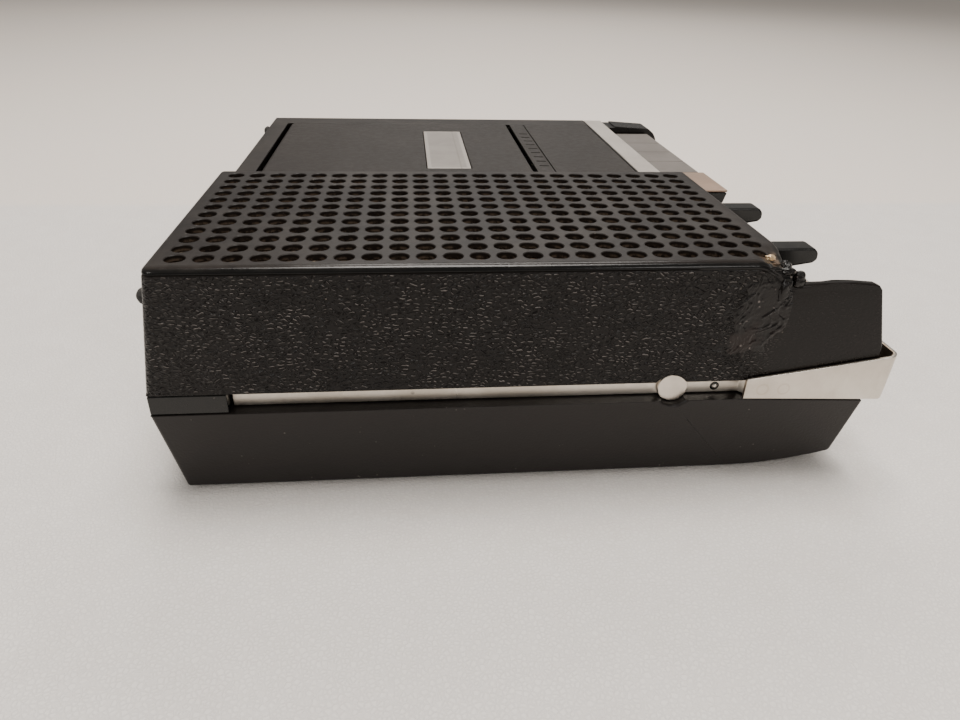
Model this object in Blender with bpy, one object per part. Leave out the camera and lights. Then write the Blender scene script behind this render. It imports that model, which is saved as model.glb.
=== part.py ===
"""Portable cassette tape recorder with a pull-out carrying handle.

Frame: the origin is on the table under the middle of the recorder, +X points to the front (keys, slide
controls and handle), +Y to the user's right (cassette side) and +Z up. Every size below is in millimetres.
"""
import math

import bmesh
import bpy
from mathutils import Matrix

MM = 0.001
FIT = 0.3                     # gap between pieces that touch on the real recorder
RUNNING = 0.3                 # radial gap of a turning fit
CUT = 5.0                     # how far a cutter runs past the face it cuts
SIDES = 16                    # facets of a round piece

# ---- casing, from rear to front ------------------------------------------------------------------------
WALL = 2.5
REAR_LEAN = 6.0               # how far the rear wall leans out towards its foot
REAR_STRIP = 7.35
LID_GROOVE = 1.5
LID_LENGTH = 115.5
LID_SLOT = 1.85
GRIP_STRIP_LENGTH = 7.9
GRIP_GROOVES = 9                # short cross grooves for the thumb that lifts the lid
GRIP_GROOVE_PITCH = 8.0
GRIP_GROOVE_WIDTH = 1.3
GRIP_GROOVE_DEPTH = 0.4
HEAD_COVER_LENGTH = 36.0
TRIM_LENGTH = 10.5
NOSE_LENGTH = 34.2
HANDLE_CLEARANCE = 4.1
BAND_THICKNESS = 1.4
DECK_LENGTH = (REAR_STRIP + LID_GROOVE + LID_LENGTH + LID_SLOT + GRIP_STRIP_LENGTH + HEAD_COVER_LENGTH
               + TRIM_LENGTH)
TOTAL_LENGTH = REAR_LEAN + DECK_LENGTH + NOSE_LENGTH + HANDLE_CLEARANCE + BAND_THICKNESS
REAR = -TOTAL_LENGTH / 2
REAR_TOP = REAR + REAR_LEAN
FASCIA = REAR_TOP + DECK_LENGTH
NOSE = FASCIA + NOSE_LENGTH

# ---- casing, from the user's left to right -------------------------------------------------------------
SPEAKER_BLOCK_WIDTH = 95.65
DECK_WIDTH = 139.15
DECK_LEFT_BORDER = 15.35
DECK_RIGHT_BORDER = 14.3
LEFT_CHEEK = 2.5
RIGHT_CHEEK = 15.0
LEFT = -(SPEAKER_BLOCK_WIDTH + DECK_WIDTH) / 2
RIGHT = -LEFT
STEP = LEFT + SPEAKER_BLOCK_WIDTH
LID_LEFT = STEP + DECK_LEFT_BORDER
LID_RIGHT = RIGHT - DECK_RIGHT_BORDER

# ---- casing, from the table up -------------------------------------------------------------------------
FOOT_HEIGHT = 1.0
LOWER_HEIGHT = 29.25
HANDLE_SLOT_HEIGHT = 6.75
DECK_HEIGHT = 31.5
SPEAKER_RISE = 7.5
GRILLE_THICKNESS = 1.7
FLOOR = FOOT_HEIGHT
LOWER_TOP = FLOOR + LOWER_HEIGHT
UPPER_BOTTOM = LOWER_TOP + HANDLE_SLOT_HEIGHT
DECK = UPPER_BOTTOM + DECK_HEIGHT
TOP = DECK + SPEAKER_RISE
BLOCK_TOP = TOP - GRILLE_THICKNESS - FIT

# ---- nose and apron below the keys ---------------------------------------------------------------------
NOSE_TIP_RISE = 5.55          # lower edge of the nose tip above the upper casing's lower edge
NOSE_TOP_STEP = 2.95          # top of the nose below the speaker block's walls, at the fascia
NOSE_TOP_FALL = 2.1           # further drop of the nose's top at its shoulder
NOSE_SHOULDER_BACK = 9.8
NOSE_CORNER = 3.2             # length of the rounded corner in front of the shoulder
NOSE_CORNER_DROP = 2.3
NOSE_FRONT_LEAN = 0.8
NOSE_FRONT_BREAK = UPPER_BOTTOM + 11.3   # height where the front edge of the nose turns upright
FAR_SHOULDER_DROP = 1.5       # the right cheek's shoulder below the deck
FAR_CORNER_DROP = 4.0
FAR_FRONT_TOP = DECK - 14.5
NOSE_MOUTH = 42.45            # length of the sloped lower edge of the nose
APRON_TOP = DECK - 16.5
APRON_FRONT = DECK - 25.0
APRON_LENGTH = 32.0
APRON_LIP = 2.0
APRON_THICKNESS = 2.8
FRONT_PLATE_BACK = 10.0       # closing plate behind the handle band, from the nose tip

# ---- lower casing --------------------------------------------------------------------------------------
LOWER_REAR_TAPER = 5.1
LOWER_SIDE_TAPER = 3.5
LOWER_FRONT_SETBACK = 0.6
LOWER_FRONT_DROP = 1.95
KEEL_RISE = 5.3
KEEL_LENGTH = 36.0
LOWER_FRONT_RAKE = 4.0
LEDGE_WIDTH = 8.4
LEDGE_DEPTH = 3.25

# ---- perforated grille ---------------------------------------------------------------------------------
HOLE_PITCH = 7.5
HOLE_RADIUS = 2.8
HOLE_SIDES = 6
GRILLE_MARGIN = 7.4
GRILLE_BEVEL = 2.1
CLOTH_THICKNESS = 0.5

# ---- carrying handle -----------------------------------------------------------------------------------
ARM_THICKNESS = 1.5
ARM_RECESS = 4.15             # outer face of the side arm behind the side wall
ARM_START = 23.2              # rear end of the side arm from the rear of the recorder
ARM_JOGGLE = 4.5              # length of the step from the slot out to the band
ARM_JOGGLE_END = 5.0          # end of that step in front of the band's rear edge
ARM_SLOT_GAP = 0.4
BAND_OVERLAP = 27.0
BAND_PROUD = 1.7              # outer face of the band in front of the side wall
BAND_CORNER = 3.2
BAND_REAR_TOP = UPPER_BOTTOM + 1.2
BAND_REAR_BOTTOM = LOWER_TOP + 1.15
BAND_FRONT_TOP = UPPER_BOTTOM + 8.4
BAND_FRONT_BOTTOM = LOWER_TOP - 0.65
GUIDE_DISC_RADIUS = 4.8
GUIDE_DISC_THICKNESS = 1.1
GUIDE_DISC_BACK = 63.9        # guide disc from the nose tip
NOTCH_RADIUS = 5.8            # notch in the side wall that shows the guide disc
NOTCH_BACK = 1.8              # its centre behind the disc's
PLUG_LENGTH = 22.6

# ---- lid, window and hinge -----------------------------------------------------------------------------
LID_THICKNESS = 2.4
LID_BEAD = 2.0
LID_LIP = 1.5
LID_LIP_DEPTH = 3.9
HINGE_PIN_RADIUS = 0.8
HINGE_PIN_GRIP = 5.0
WINDOW_LENGTH = 19.5
WINDOW_WIDTH = 73.5
WINDOW_THICKNESS = 1.2
WINDOW_FROM_FRONT = 26.2
WINDOW_REBATE = 1.5

# ---- keys ----------------------------------------------------------------------------------------------
KEY_WIDTHS = (29.15, 19.65, 19.0, 19.1, 22.3)
KEY_NAMES = ("record", "rewind", "play", "forward", "stop")
KEY_GAP = 0.6
KEY_ROW_OFFSET = -2.5         # left edge of the row from the lid's left edge
KEY_TOP_DROP = 3.75
KEY_REACH = 23.25
RECORD_KEY_EXTRA = 2.2
KEY_CAP_START = 4.5
KEY_CAP_THICKNESS = 0.95
KEY_FRONT_DEPTH = 5.6
KEY_UNDERCUT = 1.2
KEY_BELLY = 8.0               # where the key's underside starts to deepen, behind its front
KEY_BELLY_DEPTH = 6.6
KEY_GRIP_WIDTH = 3.2          # key shaft ends outside the row of keys
KEY_PIVOT_BACK = 23.8         # key shaft behind the fascia
KEY_PIVOT_DROP = 10.5         # key shaft under the deck
KEY_SHAFT_RADIUS = 1.5
KEY_EYE_RADIUS = 4.0
KEY_WINDOW_TOP_DROP = 3.0
KEY_WINDOW_HEIGHT = 12.0

# ---- slide controls ------------------------------------------------------------------------------------
TAB_REACH = 23.6
TAB_WIDTH = 7.5
TAB_THICKNESS = 5.25
TAB_ROOT_EXTRA = 3.0
SLIDERS = (("volume", 33.75, 17.0, 13.0), ("tone", 75.75, 17.0, 12.0))
# each control: name, distance from the left wall, travel to the left, travel to the right
POT_LENGTH = 11.0
POT_HEIGHT = 11.0
STEM_THICKNESS = 1.8
STEM_WIDTH = 3.0

# ---- tape mechanism ------------------------------------------------------------------------------------
CASSETTE_FRONT_GAP = 4.55
HUB_SPACING = 42.5
HUB_FROM_FRONT = 34.2
CAPSTAN_FROM_FRONT = 4.5
CAPSTAN_OFFSET = 29.0
PLATE_BOTTOM = DECK - 22.5
PLATE_THICKNESS = 1.5
WELL_FLOOR = DECK - 16.0
WELL_TOP = DECK - 3.5
WELL_WALL = 1.5
FLYWHEEL_RADIUS = 29.5
FLYWHEEL_BOTTOM = FLOOR + 5.0
FLYWHEEL_HEIGHT = 5.0
CAPSTAN_RADIUS = 1.2
MOTOR_RADIUS = 14.5
PULLEY_RADIUS = 5.0
MOTOR_SHAFT_RADIUS = 1.0
MOTOR_FROM_FASCIA = 29.8
MOTOR_FROM_LID_LEFT = 18.5
BELT_THICKNESS = 1.0
BELT_WIDTH = 1.6
HEAD_TRAVEL = 8.0
ROLLER_RADIUS = 5.5
ROLLER_PIN_RADIUS = 1.0
ROLLER_BOTTOM = DECK - 14.5
ROLLER_TOP = DECK - 6.5
HEAD_BACK = 6.0               # rest place of the head plate's edge in front of the cassette
HEAD_PLATE_Z = DECK - 16.5
HEAD_PLATE_THICKNESS = 1.2
HEAD_PLATE_LENGTH = 23.0
HEAD_PLATE_LEFT = 33.0
HEAD_PLATE_RIGHT = 36.0
HEAD_HALF_WIDTH = 7.0
HEAD_LENGTH = 10.0
MECHANISM_TOP = DECK - 5.0   # top of the capstan and of the head
SPINDLE_FLANGE_RADIUS = 12.0
SPINDLE_FLANGE_THICKNESS = 1.8
SPINDLE_HUB_RADIUS = 3.9
SPINDLE_SHAFT_RADIUS = 1.8
SPINDLE_SHOULDER = DECK - 7.7
SPINDLE_TIP = DECK - 6.3
SPINDLE_TIP_RADIUS = 2.2

# ---- loudspeaker ---------------------------------------------------------------------------------------
SPEAKER_RADIUS = 38.5
SPEAKER_MAGNET_RADIUS = 20.0
SPEAKER_BACK = 90.0           # speaker centre from the rear wall's top
SPEAKER_FLANGE = 3.5
SPEAKER_METAL = 1.5
SPEAKER_BASKET_DEPTH = 17.5
SPEAKER_HUB_RADIUS = 9.0
SPEAKER_EDGE = 7.0            # width of the rim that the cone is glued to
CONE_DEPTH = 14.0
CONE_NECK_RADIUS = 12.0
CONE_THICKNESS = 1.2
MAGNET_HEIGHT = 11.2

# ---- battery bay ---------------------------------------------------------------------------------------
BAY_FROM_REAR = 24.8
BAY_LENGTH = 102.0
BAY_FROM_LEFT = 18.4
BAY_WIDTH = 78.0
BAY_WALL = 1.6
DOOR_THICKNESS = 2.0
DOOR_GAP = 0.8

# ---- fixings -------------------------------------------------------------------------------------------
BOSS_RADIUS = 4.0
BOSS_INSET = 12.0
SCREW_RADIUS = 1.4
SCREW_HEAD_RADIUS = 3.0
SCREW_BOSS_XS = (REAR + 14.8, NOSE - 26.0)
SCREW_HEAD_DEPTH = 4.6        # seat of the screw heads above the underside
SCREW_HEAD_HEIGHT = 2.2
SCREW_REACH = 9.0             # screw tip above the lower casing's top
BOSS_TOP = DECK - 22.5
BUFFER_RADIUS = 2.6
BUFFER_STEM_RADIUS = 1.2
BUFFER_STEM = 5.0
BUFFER_HEAD = 2.6
BUFFER_DROP = 3.5
BUFFER_FROM_LEFT = 8.0
BUFFER_FROM_RIGHT = 18.0
FOOT_RADIUS = 5.0
FOOT_INSET = 11.9
FOOT_XS = (REAR + 31.0, NOSE - 58.0)

# ---- socket --------------------------------------------------------------------------------------------
SOCKET_RADIUS = 7.2
SOCKET_BORE = 5.8
SOCKET_DEPTH = 9.0
SOCKET_FROM_REAR = 42.8
SOCKET_HEIGHT = DECK - 16.5
SOCKET_FLOOR = 1.5

# ---- circuit board: each tall component's place on the board, half width and height --------------------
BOARD_BOTTOM = FLOOR + 19.0
BOARD_THICKNESS = 1.6
BOARD_COMPONENTS = (("transformer", 16.0, 20.0, 11.0, 20.0), ("coupling_coil", 14.0, 52.0, 5.0, 9.0),
                    ("record_switch", 24.0, 78.0, 6.0, 10.0))


def material(name, colour, roughness, metallic=0.0):
    made = bpy.data.materials.get(name)
    if made is None:
        made = bpy.data.materials.new(name)
        made.use_nodes = True
        shader = made.node_tree.nodes["Principled BSDF"]
        shader.inputs["Base Color"].default_value = (*colour, 1.0)
        shader.inputs["Roughness"].default_value = roughness
        shader.inputs["Metallic"].default_value = metallic
    return made


def grained_plastic():
    return material("grained_plastic", (0.021, 0.018, 0.016), 0.55)


def satin_plastic():
    return material("satin_plastic", (0.030, 0.026, 0.024), 0.42)


def grille_plastic():
    return material("grille_plastic", (0.060, 0.050, 0.044), 0.35)


def panel_plastic():
    return material("panel_plastic", (0.095, 0.080, 0.070), 0.6)


def gloss_plastic():
    return material("gloss_plastic", (0.012, 0.011, 0.010), 0.15)


def bright_trim():
    return material("bright_trim", (0.50, 0.46, 0.41), 0.4, 0.7)


def nickel_steel():
    return material("nickel_steel", (0.58, 0.53, 0.46), 0.35, 1.0)


def zinc_steel():
    return material("zinc_steel", (0.55, 0.55, 0.53), 0.4, 1.0)


def brass():
    return material("brass", (0.62, 0.45, 0.20), 0.35, 1.0)


def rubber():
    return material("rubber", (0.015, 0.015, 0.015), 0.8)


def cloth():
    return material("cloth", (0.10, 0.075, 0.055), 0.95)


def paper():
    return material("paper", (0.05, 0.045, 0.04), 0.9)


def ferrite():
    return material("ferrite", (0.05, 0.05, 0.05), 0.7)


def grey_cap():
    return material("grey_cap", (0.18, 0.15, 0.135), 0.5)


def copper_cap():
    return material("copper_cap", (0.30, 0.20, 0.14), 0.4, 0.3)


def window_grey():
    return material("window_grey", (0.38, 0.34, 0.30), 0.35)


def board_green():
    return material("board_green", (0.05, 0.16, 0.07), 0.5)


# ---- solids: each takes millimetres and returns an object in metres ------------------------------------
def add_object(name, bm, finish):
    bmesh.ops.recalc_face_normals(bm, faces=bm.faces[:])
    bmesh.ops.scale(bm, vec=(MM, MM, MM), verts=bm.verts[:])
    mesh = bpy.data.meshes.new(name)
    bm.to_mesh(mesh)
    bm.free()
    made = bpy.data.objects.new(name, mesh)
    bpy.context.scene.collection.objects.link(made)
    if finish is not None:
        mesh.materials.append(finish)
    return made


def loft(name, rings, finish=None):
    """A closed solid through rings of equally many points, with flat ends."""
    bm = bmesh.new()
    loops = [[bm.verts.new(point) for point in ring] for ring in rings]
    bm.faces.new(loops[0])
    bm.faces.new(loops[-1])
    count = len(loops[0])
    for low, high in zip(loops, loops[1:]):
        for i in range(count):
            j = (i + 1) % count
            bm.faces.new((low[i], low[j], high[j], high[i]))
    return add_object(name, bm, finish)


def box(name, x, y, z, finish=None):
    rings = [[(x[0], y[0], h), (x[1], y[0], h), (x[1], y[1], h), (x[0], y[1], h)] for h in z]
    return loft(name, rings, finish)


def side_prism(name, outline, y, finish=None):
    """An (x, z) outline drawn out along Y."""
    return loft(name, [[(px, side, pz) for px, pz in outline] for side in y], finish)


def flat_prism(name, outline, z, finish=None):
    """An (x, y) outline drawn out along Z."""
    return loft(name, [[(px, py, level) for px, py in outline] for level in z], finish)


def circle(cx, cy, radius, sides=SIDES, start=0.0):
    return [(cx + radius * math.cos(start + math.tau * i / sides),
             cy + radius * math.sin(start + math.tau * i / sides)) for i in range(sides)]


def arc(cx, cy, radius, first, last, steps):
    """Points on an arc, angles in degrees."""
    angles = [math.radians(first + (last - first) * i / steps) for i in range(steps + 1)]
    return [(cx + radius * math.cos(a), cy + radius * math.sin(a)) for a in angles]


def upright_rod(name, x, y, z, radius, finish=None, sides=SIDES):
    return flat_prism(name, circle(x, y, radius, sides), z, finish)


def cross_rod(name, x, z, y, radius, finish=None, sides=SIDES):
    """A rod along Y."""
    return side_prism(name, circle(x, z, radius, sides), y, finish)


def turned(name, x, y, profile, finish=None, sides=SIDES):
    """A closed (radius, height) profile turned round a vertical axis; radius 0 lies on the axis."""
    bm = bmesh.new()
    rings = []
    for radius, height in profile:
        if radius == 0:
            rings.append([bm.verts.new((x, y, height))])
        else:
            rings.append([bm.verts.new((px, py, height)) for px, py in circle(x, y, radius, sides)])
    for low, high in zip(rings, rings[1:] + rings[:1]):
        for i in range(sides):
            j = (i + 1) % sides
            if len(low) == 1 and len(high) == 1:
                break
            if len(low) == 1:
                bm.faces.new((low[0], high[i], high[j]))
            elif len(high) == 1:
                bm.faces.new((low[i], low[j], high[0]))
            else:
                bm.faces.new((low[i], low[j], high[j], high[i]))
    return add_object(name, bm, finish)


def lay_along_x(made, towards):
    """Turns a piece's vertical axis at the origin to point along X; towards is 1 or -1."""
    made.data.transform(Matrix.Rotation(math.radians(90.0 * towards), 4, "Y"))
    return made


def lay_along_y(made, towards):
    """Turns a piece's vertical axis at the origin to point along Y; towards is 1 or -1."""
    made.data.transform(Matrix.Rotation(math.radians(-90.0 * towards), 4, "X"))
    return made


def move(made, x, y, z):
    made.data.transform(Matrix.Translation((x * MM, y * MM, z * MM)))
    return made


def combine(target, tool, operation):
    modifier = target.modifiers.new(tool.name, "BOOLEAN")
    modifier.operation = operation
    modifier.solver = "EXACT"
    modifier.object = tool
    tool.hide_render = True
    tool.display_type = "WIRE"


def cut(target, tool):
    combine(target, tool, "DIFFERENCE")


def fuse(target, tool):
    combine(target, tool, "UNION")


def set_origin(made, x, y, z):
    """Puts the origin of a moving piece on its joint's axis."""
    place = Matrix.Translation((-x * MM, -y * MM, -z * MM))
    made.data.transform(place)
    made.location = (x * MM, y * MM, z * MM)


def smooth(made):
    made.data.shade_smooth()
    made.data.set_sharp_from_angle(angle=math.radians(35.0))


def rear_wall_x(height):
    """Outer face of the leaning rear wall of the upper casing."""
    share = (BLOCK_TOP - height) / (BLOCK_TOP - UPPER_BOTTOM)
    return REAR_TOP - REAR_LEAN * share


for old in list(bpy.data.objects):
    bpy.data.objects.remove(old, do_unlink=True)

SLOT_MIDDLE = (LOWER_TOP + UPPER_BOTTOM) / 2
GUIDE_DISC_X = NOSE - GUIDE_DISC_BACK
GUIDE_DISC_Z = SLOT_MIDDLE - 0.1
NOTCH_X = GUIDE_DISC_X - NOTCH_BACK
APRON_TIP = FASCIA + APRON_LENGTH
LID_REAR = REAR_TOP + REAR_STRIP + LID_GROOVE
LID_FRONT = LID_REAR + LID_LENGTH
GRIP_START = LID_FRONT + LID_SLOT
HEAD_COVER_START = GRIP_START + GRIP_STRIP_LENGTH
TRIM_START = HEAD_COVER_START + HEAD_COVER_LENGTH
CASSETTE_MIDDLE = (LID_LEFT + LID_RIGHT) / 2
CASSETTE_FRONT = LID_FRONT - CASSETTE_FRONT_GAP
HINGE_X = LID_REAR + LID_BEAD
HINGE_Z = DECK - LID_BEAD
SPEAKER_X = REAR_TOP + SPEAKER_BACK
SPEAKER_Y = (LEFT + STEP) / 2
RIM = TOP - GRILLE_THICKNESS - FIT - CLOTH_THICKNESS - 0.6
BUFFER_HEIGHT = DECK - BUFFER_DROP
BUFFER_YS = (LEFT + BUFFER_FROM_LEFT, RIGHT - BUFFER_FROM_RIGHT)
SCREW_HEAD_SEAT = FLOOR + SCREW_HEAD_DEPTH
HUB_X = CASSETTE_FRONT - HUB_FROM_FRONT
CAPSTAN_X = CASSETTE_FRONT - CAPSTAN_FROM_FRONT
CAPSTAN_Y = CASSETTE_MIDDLE + CAPSTAN_OFFSET
HEAD_X = CASSETTE_FRONT + HEAD_BACK
ROLLER_X = CAPSTAN_X + CAPSTAN_RADIUS + ROLLER_RADIUS + FIT + HEAD_TRAVEL
PLATE_TOP = PLATE_BOTTOM + PLATE_THICKNESS
KEY_LEFT = LID_LEFT + KEY_ROW_OFFSET
KEY_RIGHT = KEY_LEFT + sum(KEY_WIDTHS)
KEY_TOP = DECK - KEY_TOP_DROP
KEY_PIVOT_X = FASCIA - KEY_PIVOT_BACK
KEY_PIVOT_Z = DECK - KEY_PIVOT_DROP
BOSS_YS = (LEFT + BOSS_INSET, RIGHT - BOSS_INSET)
POST_XS = (HUB_X - 23.0, FASCIA - 12.0)
POST_YS = (LID_LEFT - 2.0, LID_RIGHT - 3.0)
POST_RADIUS = 3.0
SIDE_WALLS = ((LEFT, 1), (RIGHT, -1))


# ---- upper casing: one moulding with the speaker block, deck, cheeks, apron and closing plate ----------
def upper_casing():
    shoulder = NOSE - NOSE_SHOULDER_BACK
    nose_top = BLOCK_TOP - NOSE_TOP_STEP
    shoulder_top = nose_top - NOSE_TOP_FALL
    side = [(REAR, UPPER_BOTTOM), (REAR_TOP, BLOCK_TOP), (FASCIA, BLOCK_TOP), (FASCIA, nose_top),
            (shoulder, shoulder_top), (shoulder + NOSE_CORNER * 0.55, shoulder_top - NOSE_CORNER_DROP * 0.3),
            (shoulder + NOSE_CORNER, shoulder_top - NOSE_CORNER_DROP),
            (NOSE - NOSE_FRONT_LEAN, NOSE_FRONT_BREAK), (NOSE, UPPER_BOTTOM + NOSE_TIP_RISE),
            (NOSE - NOSE_MOUTH, UPPER_BOTTOM)]
    shell = side_prism("upper_casing", side, (LEFT, RIGHT), grained_plastic())

    over_deck = [(REAR - CUT, DECK), (FASCIA, DECK), (shoulder, DECK - FAR_SHOULDER_DROP),
                 (shoulder + NOSE_CORNER, DECK - FAR_CORNER_DROP), (NOSE, FAR_FRONT_TOP),
                 (NOSE + CUT, FAR_FRONT_TOP),
                 (NOSE + CUT, TOP + CUT), (REAR - CUT, TOP + CUT)]
    cut(shell, side_prism("cut_over_deck", over_deck, (STEP, RIGHT + CUT)))

    over_apron = [(FASCIA, TOP + CUT), (FASCIA, APRON_TOP), (APRON_TIP, APRON_FRONT),
                  (APRON_TIP, UPPER_BOTTOM - CUT), (NOSE + CUT, UPPER_BOTTOM - CUT), (NOSE + CUT, TOP + CUT)]
    between_cheeks = (LEFT + LEFT_CHEEK, RIGHT - RIGHT_CHEEK)
    cut(shell, side_prism("cut_over_apron", over_apron, between_cheeks))

    roof = DECK - WALL
    apron_slope = (APRON_TOP - APRON_FRONT) / APRON_LENGTH
    inner_tip = APRON_TIP - APRON_LIP
    inner_apron = APRON_TOP - APRON_THICKNESS
    inside = [(rear_wall_x(roof) + WALL, roof), (FASCIA - WALL, roof), (FASCIA - WALL, inner_apron),
              (inner_tip, inner_apron - apron_slope * (inner_tip - FASCIA + WALL)),
              (inner_tip, UPPER_BOTTOM - CUT), (rear_wall_x(UPPER_BOTTOM - CUT) + WALL, UPPER_BOTTOM - CUT)]
    cut(shell, side_prism("cut_inside", inside, (LEFT + WALL, RIGHT - WALL)))

    cut(shell, box("cut_speaker_mouth", (REAR_TOP + WALL + 1.0, FASCIA - WALL - 0.5),
                   (LEFT + WALL + 0.5, STEP - WALL), (roof - 6.0, TOP + CUT)))
    cut(shell, box("cut_lid_mouth", (REAR_TOP + REAR_STRIP, GRIP_START),
                   (LID_LEFT - 0.4, LID_RIGHT + 0.4), (roof - CUT, TOP + CUT)))
    cut(shell, box("cut_head_mouth", (GRIP_START - 1.0, TRIM_START - 3.0),
                   (LID_LEFT + 3.0, LID_RIGHT - 3.0), (roof - CUT, TOP + CUT)))
    cut(shell, box("cut_cover_rebate", (GRIP_START - 0.5, TRIM_START),
                   (LID_LEFT - 0.4, LID_RIGHT + 0.4), (DECK - 1.5, TOP + CUT)))
    cut(shell, box("cut_trim_rebate", (TRIM_START + 0.6, FASCIA + CUT),
                   (STEP + FIT, RIGHT + CUT), (DECK - 1.0, TOP + CUT)))

    window_z = (DECK - KEY_WINDOW_TOP_DROP - KEY_WINDOW_HEIGHT, DECK - KEY_WINDOW_TOP_DROP)
    through_fascia = (FASCIA - WALL - 1.0, FASCIA + CUT)
    cut(shell, box("cut_key_window", through_fascia, (KEY_LEFT - KEY_GAP, KEY_RIGHT + KEY_GAP), window_z))
    for name, centre, leftwards, rightwards in SLIDERS:
        half = TAB_WIDTH / 2 + 0.6
        slot_y = (LEFT + centre - leftwards - half, LEFT + centre + rightwards + half)
        cut(shell, box(f"cut_{name}_tab_slot", through_fascia, slot_y,
                       (DECK - TAB_THICKNESS - TAB_ROOT_EXTRA - 0.5, DECK + 0.5)))

    for number, y in enumerate((LEFT, RIGHT)):
        cut(shell, cross_rod(f"cut_upper_notch_{number}", NOTCH_X, GUIDE_DISC_Z,
                             (y - WALL - 0.6, y + WALL + 0.6), NOTCH_RADIUS, sides=24))
    cut(shell, cross_rod("cut_socket_hole", REAR + SOCKET_FROM_REAR, SOCKET_HEIGHT,
                         (RIGHT - WALL - CUT, RIGHT + CUT), SOCKET_RADIUS + FIT))
    for number, y in enumerate(BUFFER_YS):
        hole = upright_rod(f"cut_buffer_hole_{number}", 0.0, 0.0, (-2 * CUT, 2 * CUT),
                           BUFFER_STEM_RADIUS + FIT, sides=8)
        cut(shell, move(lay_along_x(hole, 1), rear_wall_x(BUFFER_HEIGHT), y, BUFFER_HEIGHT))

    plate_x = (NOSE - FRONT_PLATE_BACK - WALL, NOSE - FRONT_PLATE_BACK)
    arm_room = ARM_RECESS + ARM_THICKNESS + 0.8
    plate_y = (LEFT + arm_room, RIGHT - arm_room)
    fuse(shell, box("closing_plate", plate_x, plate_y, (LOWER_TOP + 0.8, APRON_FRONT + 0.9)))

    for number, (wall, inward) in enumerate(SIDE_WALLS):
        rail_y = sorted((wall + inward * (WALL - 0.5), wall + inward * 9.0))
        fuse(shell, box(f"arm_rail_{number}", (REAR + PLUG_LENGTH + 4.0, GUIDE_DISC_X - 6.0), rail_y,
                        (UPPER_BOTTOM + 0.3, UPPER_BOTTOM + 2.5)))
    for column, x in enumerate(SCREW_BOSS_XS):
        for row, y in enumerate(BOSS_YS):
            outward = -1 if row == 0 else 1
            web_y = sorted((y + outward * 2.0, y + outward * (BOSS_INSET - 1.0)))
            fuse(shell, upright_rod(f"boss_{column}{row}", x, y, (LOWER_TOP + FIT, BOSS_TOP), BOSS_RADIUS,
                                    sides=8))
            fuse(shell, box(f"boss_web_{column}{row}", (x - 1.0, x + 1.0), web_y,
                            (UPPER_BOTTOM + 1.0, BOSS_TOP - 1.0)))
            cut(shell, upright_rod(f"cut_boss_{column}{row}", x, y, (LOWER_TOP - CUT, BOSS_TOP - 4.0),
                                   SCREW_RADIUS + FIT, sides=8))
    for number, (edge, outward) in enumerate(((LID_LEFT, -1), (LID_RIGHT, 1))):
        lug_y = sorted((edge + outward * 0.8, edge + outward * 4.6))
        fuse(shell, box(f"hinge_lug_{number}", (HINGE_X - 2.4, HINGE_X + 2.4), lug_y,
                        (HINGE_Z - 3.0, roof + 0.6)))
        hole_y = sorted((edge - outward * 1.0, edge + outward * 6.0))
        cut(shell, cross_rod(f"cut_hinge_hole_{number}", HINGE_X, HINGE_Z, hole_y,
                             HINGE_PIN_RADIUS + FIT, sides=8))


# ---- lower casing: a tapered tray with ledges, battery bay, pillars and posts --------------------------
def lower_half_width(height):
    return RIGHT - LOWER_SIDE_TAPER * (LOWER_TOP - height) / LOWER_HEIGHT


def tapered_prism(name, outline, inset, finish=None):
    rings = [[(x, side * (lower_half_width(z) - inset), z) for x, z in outline] for side in (-1, 1)]
    return loft(name, rings, finish)


def keel_curve(length, rise, start, base, steps):
    """The underside's sweep up to the front."""
    return [(start + length * i / steps, base + rise * (i / steps) ** 2) for i in range(steps + 1)]


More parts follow.
